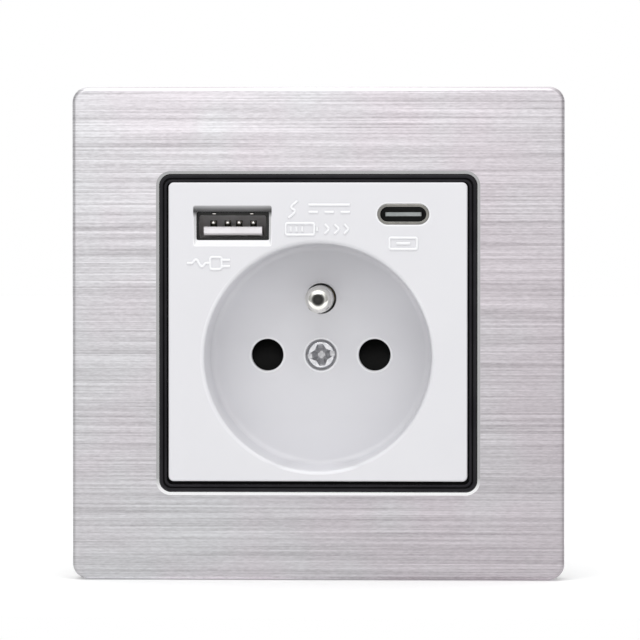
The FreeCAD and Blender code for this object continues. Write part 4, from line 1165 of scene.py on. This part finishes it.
# A lighter copy of the zinc for the recess and slot, as painted light, painted darker deeper in as painted
# shade.
recess_zinc_painted_light_shade = finish(
    "recess_zinc_painted_light_shade", (0.90, 0.90, 0.92), (0.62, 0.62, 0.64),
    gloss=0.38, spread=0.06, cloud=0.5, grain=0.25, relief=0.004, Metallic=1.0,
)
toned(recess_zinc_painted_light_shade, "Y", ((head_y, 1.0), (head_y + 0.35, 1.0), (head_y + 0.7, 0.8), (head_y + 2.2, 0.75)))
recess = [
    cross(2.12, 0.56, 1.12, head_y - 0.3), cross(1.98, 0.5, 1.0, head_y + 0.05),
    cross(0.62, 0.24, 0.36, head_y + 2.2),
]
slot_reach = 3
slot_half = 0.42
slot_deep = 0.62
slot_corners = ((-1, -1), (1, -1), (1, 1), (-1, 1))
screw_slot = [
    [about_screw(slot_reach * sx, slot_half * sz, screw_turn, y) for sx, sz in slot_corners]
    for y in (head_y - 0.5, head_y + slot_deep)
]
shaped(central_screw, [shell("recess", recess, recess_zinc_painted_light_shade), shell("slot", screw_slot, recess_zinc_painted_light_shade)])
keep_flats(central_screw, 30)
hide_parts("cover_screw")
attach(central_screw, "insert")


# Studio: pale floor, white surroundings that are dimmer to the sides, one soft light close above the
# front and a camera nearly head-on.

def area_light(name, size, place, aim, watts):
    """Large soft light that the camera doesn't see."""
    data = bpy.data.lights.new(name, "AREA")
    data.shape = "RECTANGLE"
    data.size, data.size_y = size
    data.energy = watts
    made = placed(name, data)
    made.location = place
    made.rotation_mode = "QUATERNION"
    made.rotation_quaternion = (Vector(aim) - Vector(place)).to_track_quat("-Z", "Y")
    made.visible_camera = False


scene = bpy.context.scene
scene.view_settings.view_transform = "Standard"

floor_level = cad_box[0].z - 0.2 * MM
floor_front = -0.09
floor_reach = 3.0
floor_mesh = bpy.data.meshes.new("pale_floor")
floor_mesh.from_pydata([
    (-floor_reach, floor_front, floor_level), (floor_reach, floor_front, floor_level),
    (floor_reach, floor_reach, floor_level), (-floor_reach, floor_reach, floor_level),
], [], [(0, 1, 2, 3)])
pale = finish(
    "pale_floor", (0.90, 0.90, 0.90), (0.89, 0.89, 0.89),
    gloss=0.6, spread=0.03, cloud=400.0, grain=20.0, relief=0.001,
    Emission_Color=(1, 1, 1, 1), Emission_Strength=0.14,
)
floor_mesh.materials.append(pale)
floor = placed("pale_floor", floor_mesh)

world = bpy.data.worlds.new("white_surroundings")
world.use_nodes = True
scene.world = world
sky = world.node_tree
sky.nodes.clear()
way = add(sky, "ShaderNodeTexCoord").outputs["Generated"]
split = add(sky, "ShaderNodeSeparateXYZ", {"Vector": way}).outputs
ahead = number(sky, "MULTIPLY", split["Y"], -1.0)
sideways = number(sky, "ABSOLUTE", split["X"])
front = ranged(sky, ahead, 0.60, 0.78, interpolation_type="SMOOTHSTEP")
beside = ranged(sky, sideways, 0.5, 0.9, interpolation_type="SMOOTHSTEP")
upper = ranged(sky, split["Z"], -0.1, 0.5, interpolation_type="SMOOTHSTEP")
room_top = 1.2
room_low = 0.85
room_side = 0.4
room_front = 0.93


def between(share, low, high):
    """Brightness between two others."""
    return add(sky, "ShaderNodeMix", {0: share, 2: low, 3: high}).outputs[0]


brightness = between(front, between(beside, between(upper, room_low, room_top), room_side), room_front)
lit = add(sky, "ShaderNodeBackground", {"Color": (1, 1, 1, 1), "Strength": brightness})
seen = add(sky, "ShaderNodeBackground", {"Color": (1, 1, 1, 1), "Strength": 1.0})
camera_ray = add(sky, "ShaderNodeLightPath").outputs["Is Camera Ray"]
room = add(sky, "ShaderNodeMixShader", {0: camera_ray, 1: lit.outputs[0], 2: seen.outputs[0]})
add(sky, "ShaderNodeOutputWorld", {"Surface": room.outputs[0]})

area_light(
    "near_softbox", size=(0.16, 0.10), place=(-0.012, -0.14, 0.16), aim=(0, 0, 0.01), watts=0.150,
)

azimuth = math.radians(2.2)
elevation = math.radians(1.2)
distance = 0.9
aim = Vector((0.35 * MM, face_y * MM, 2.07 * MM))
back = Vector((
    math.sin(azimuth) * math.cos(elevation), -math.cos(azimuth) * math.cos(elevation), math.sin(elevation),
))
lens = bpy.data.cameras.new("camera")
lens.lens = 290.0
lens.sensor_width = 36.0
lens.clip_start = 0.01
lens.clip_end = 20.0
camera = placed("camera", lens)
camera.location = aim + back * distance
camera.rotation_mode = "QUATERNION"
camera.rotation_quaternion = (-back).to_track_quat("-Z", "Y")
scene.camera = camera
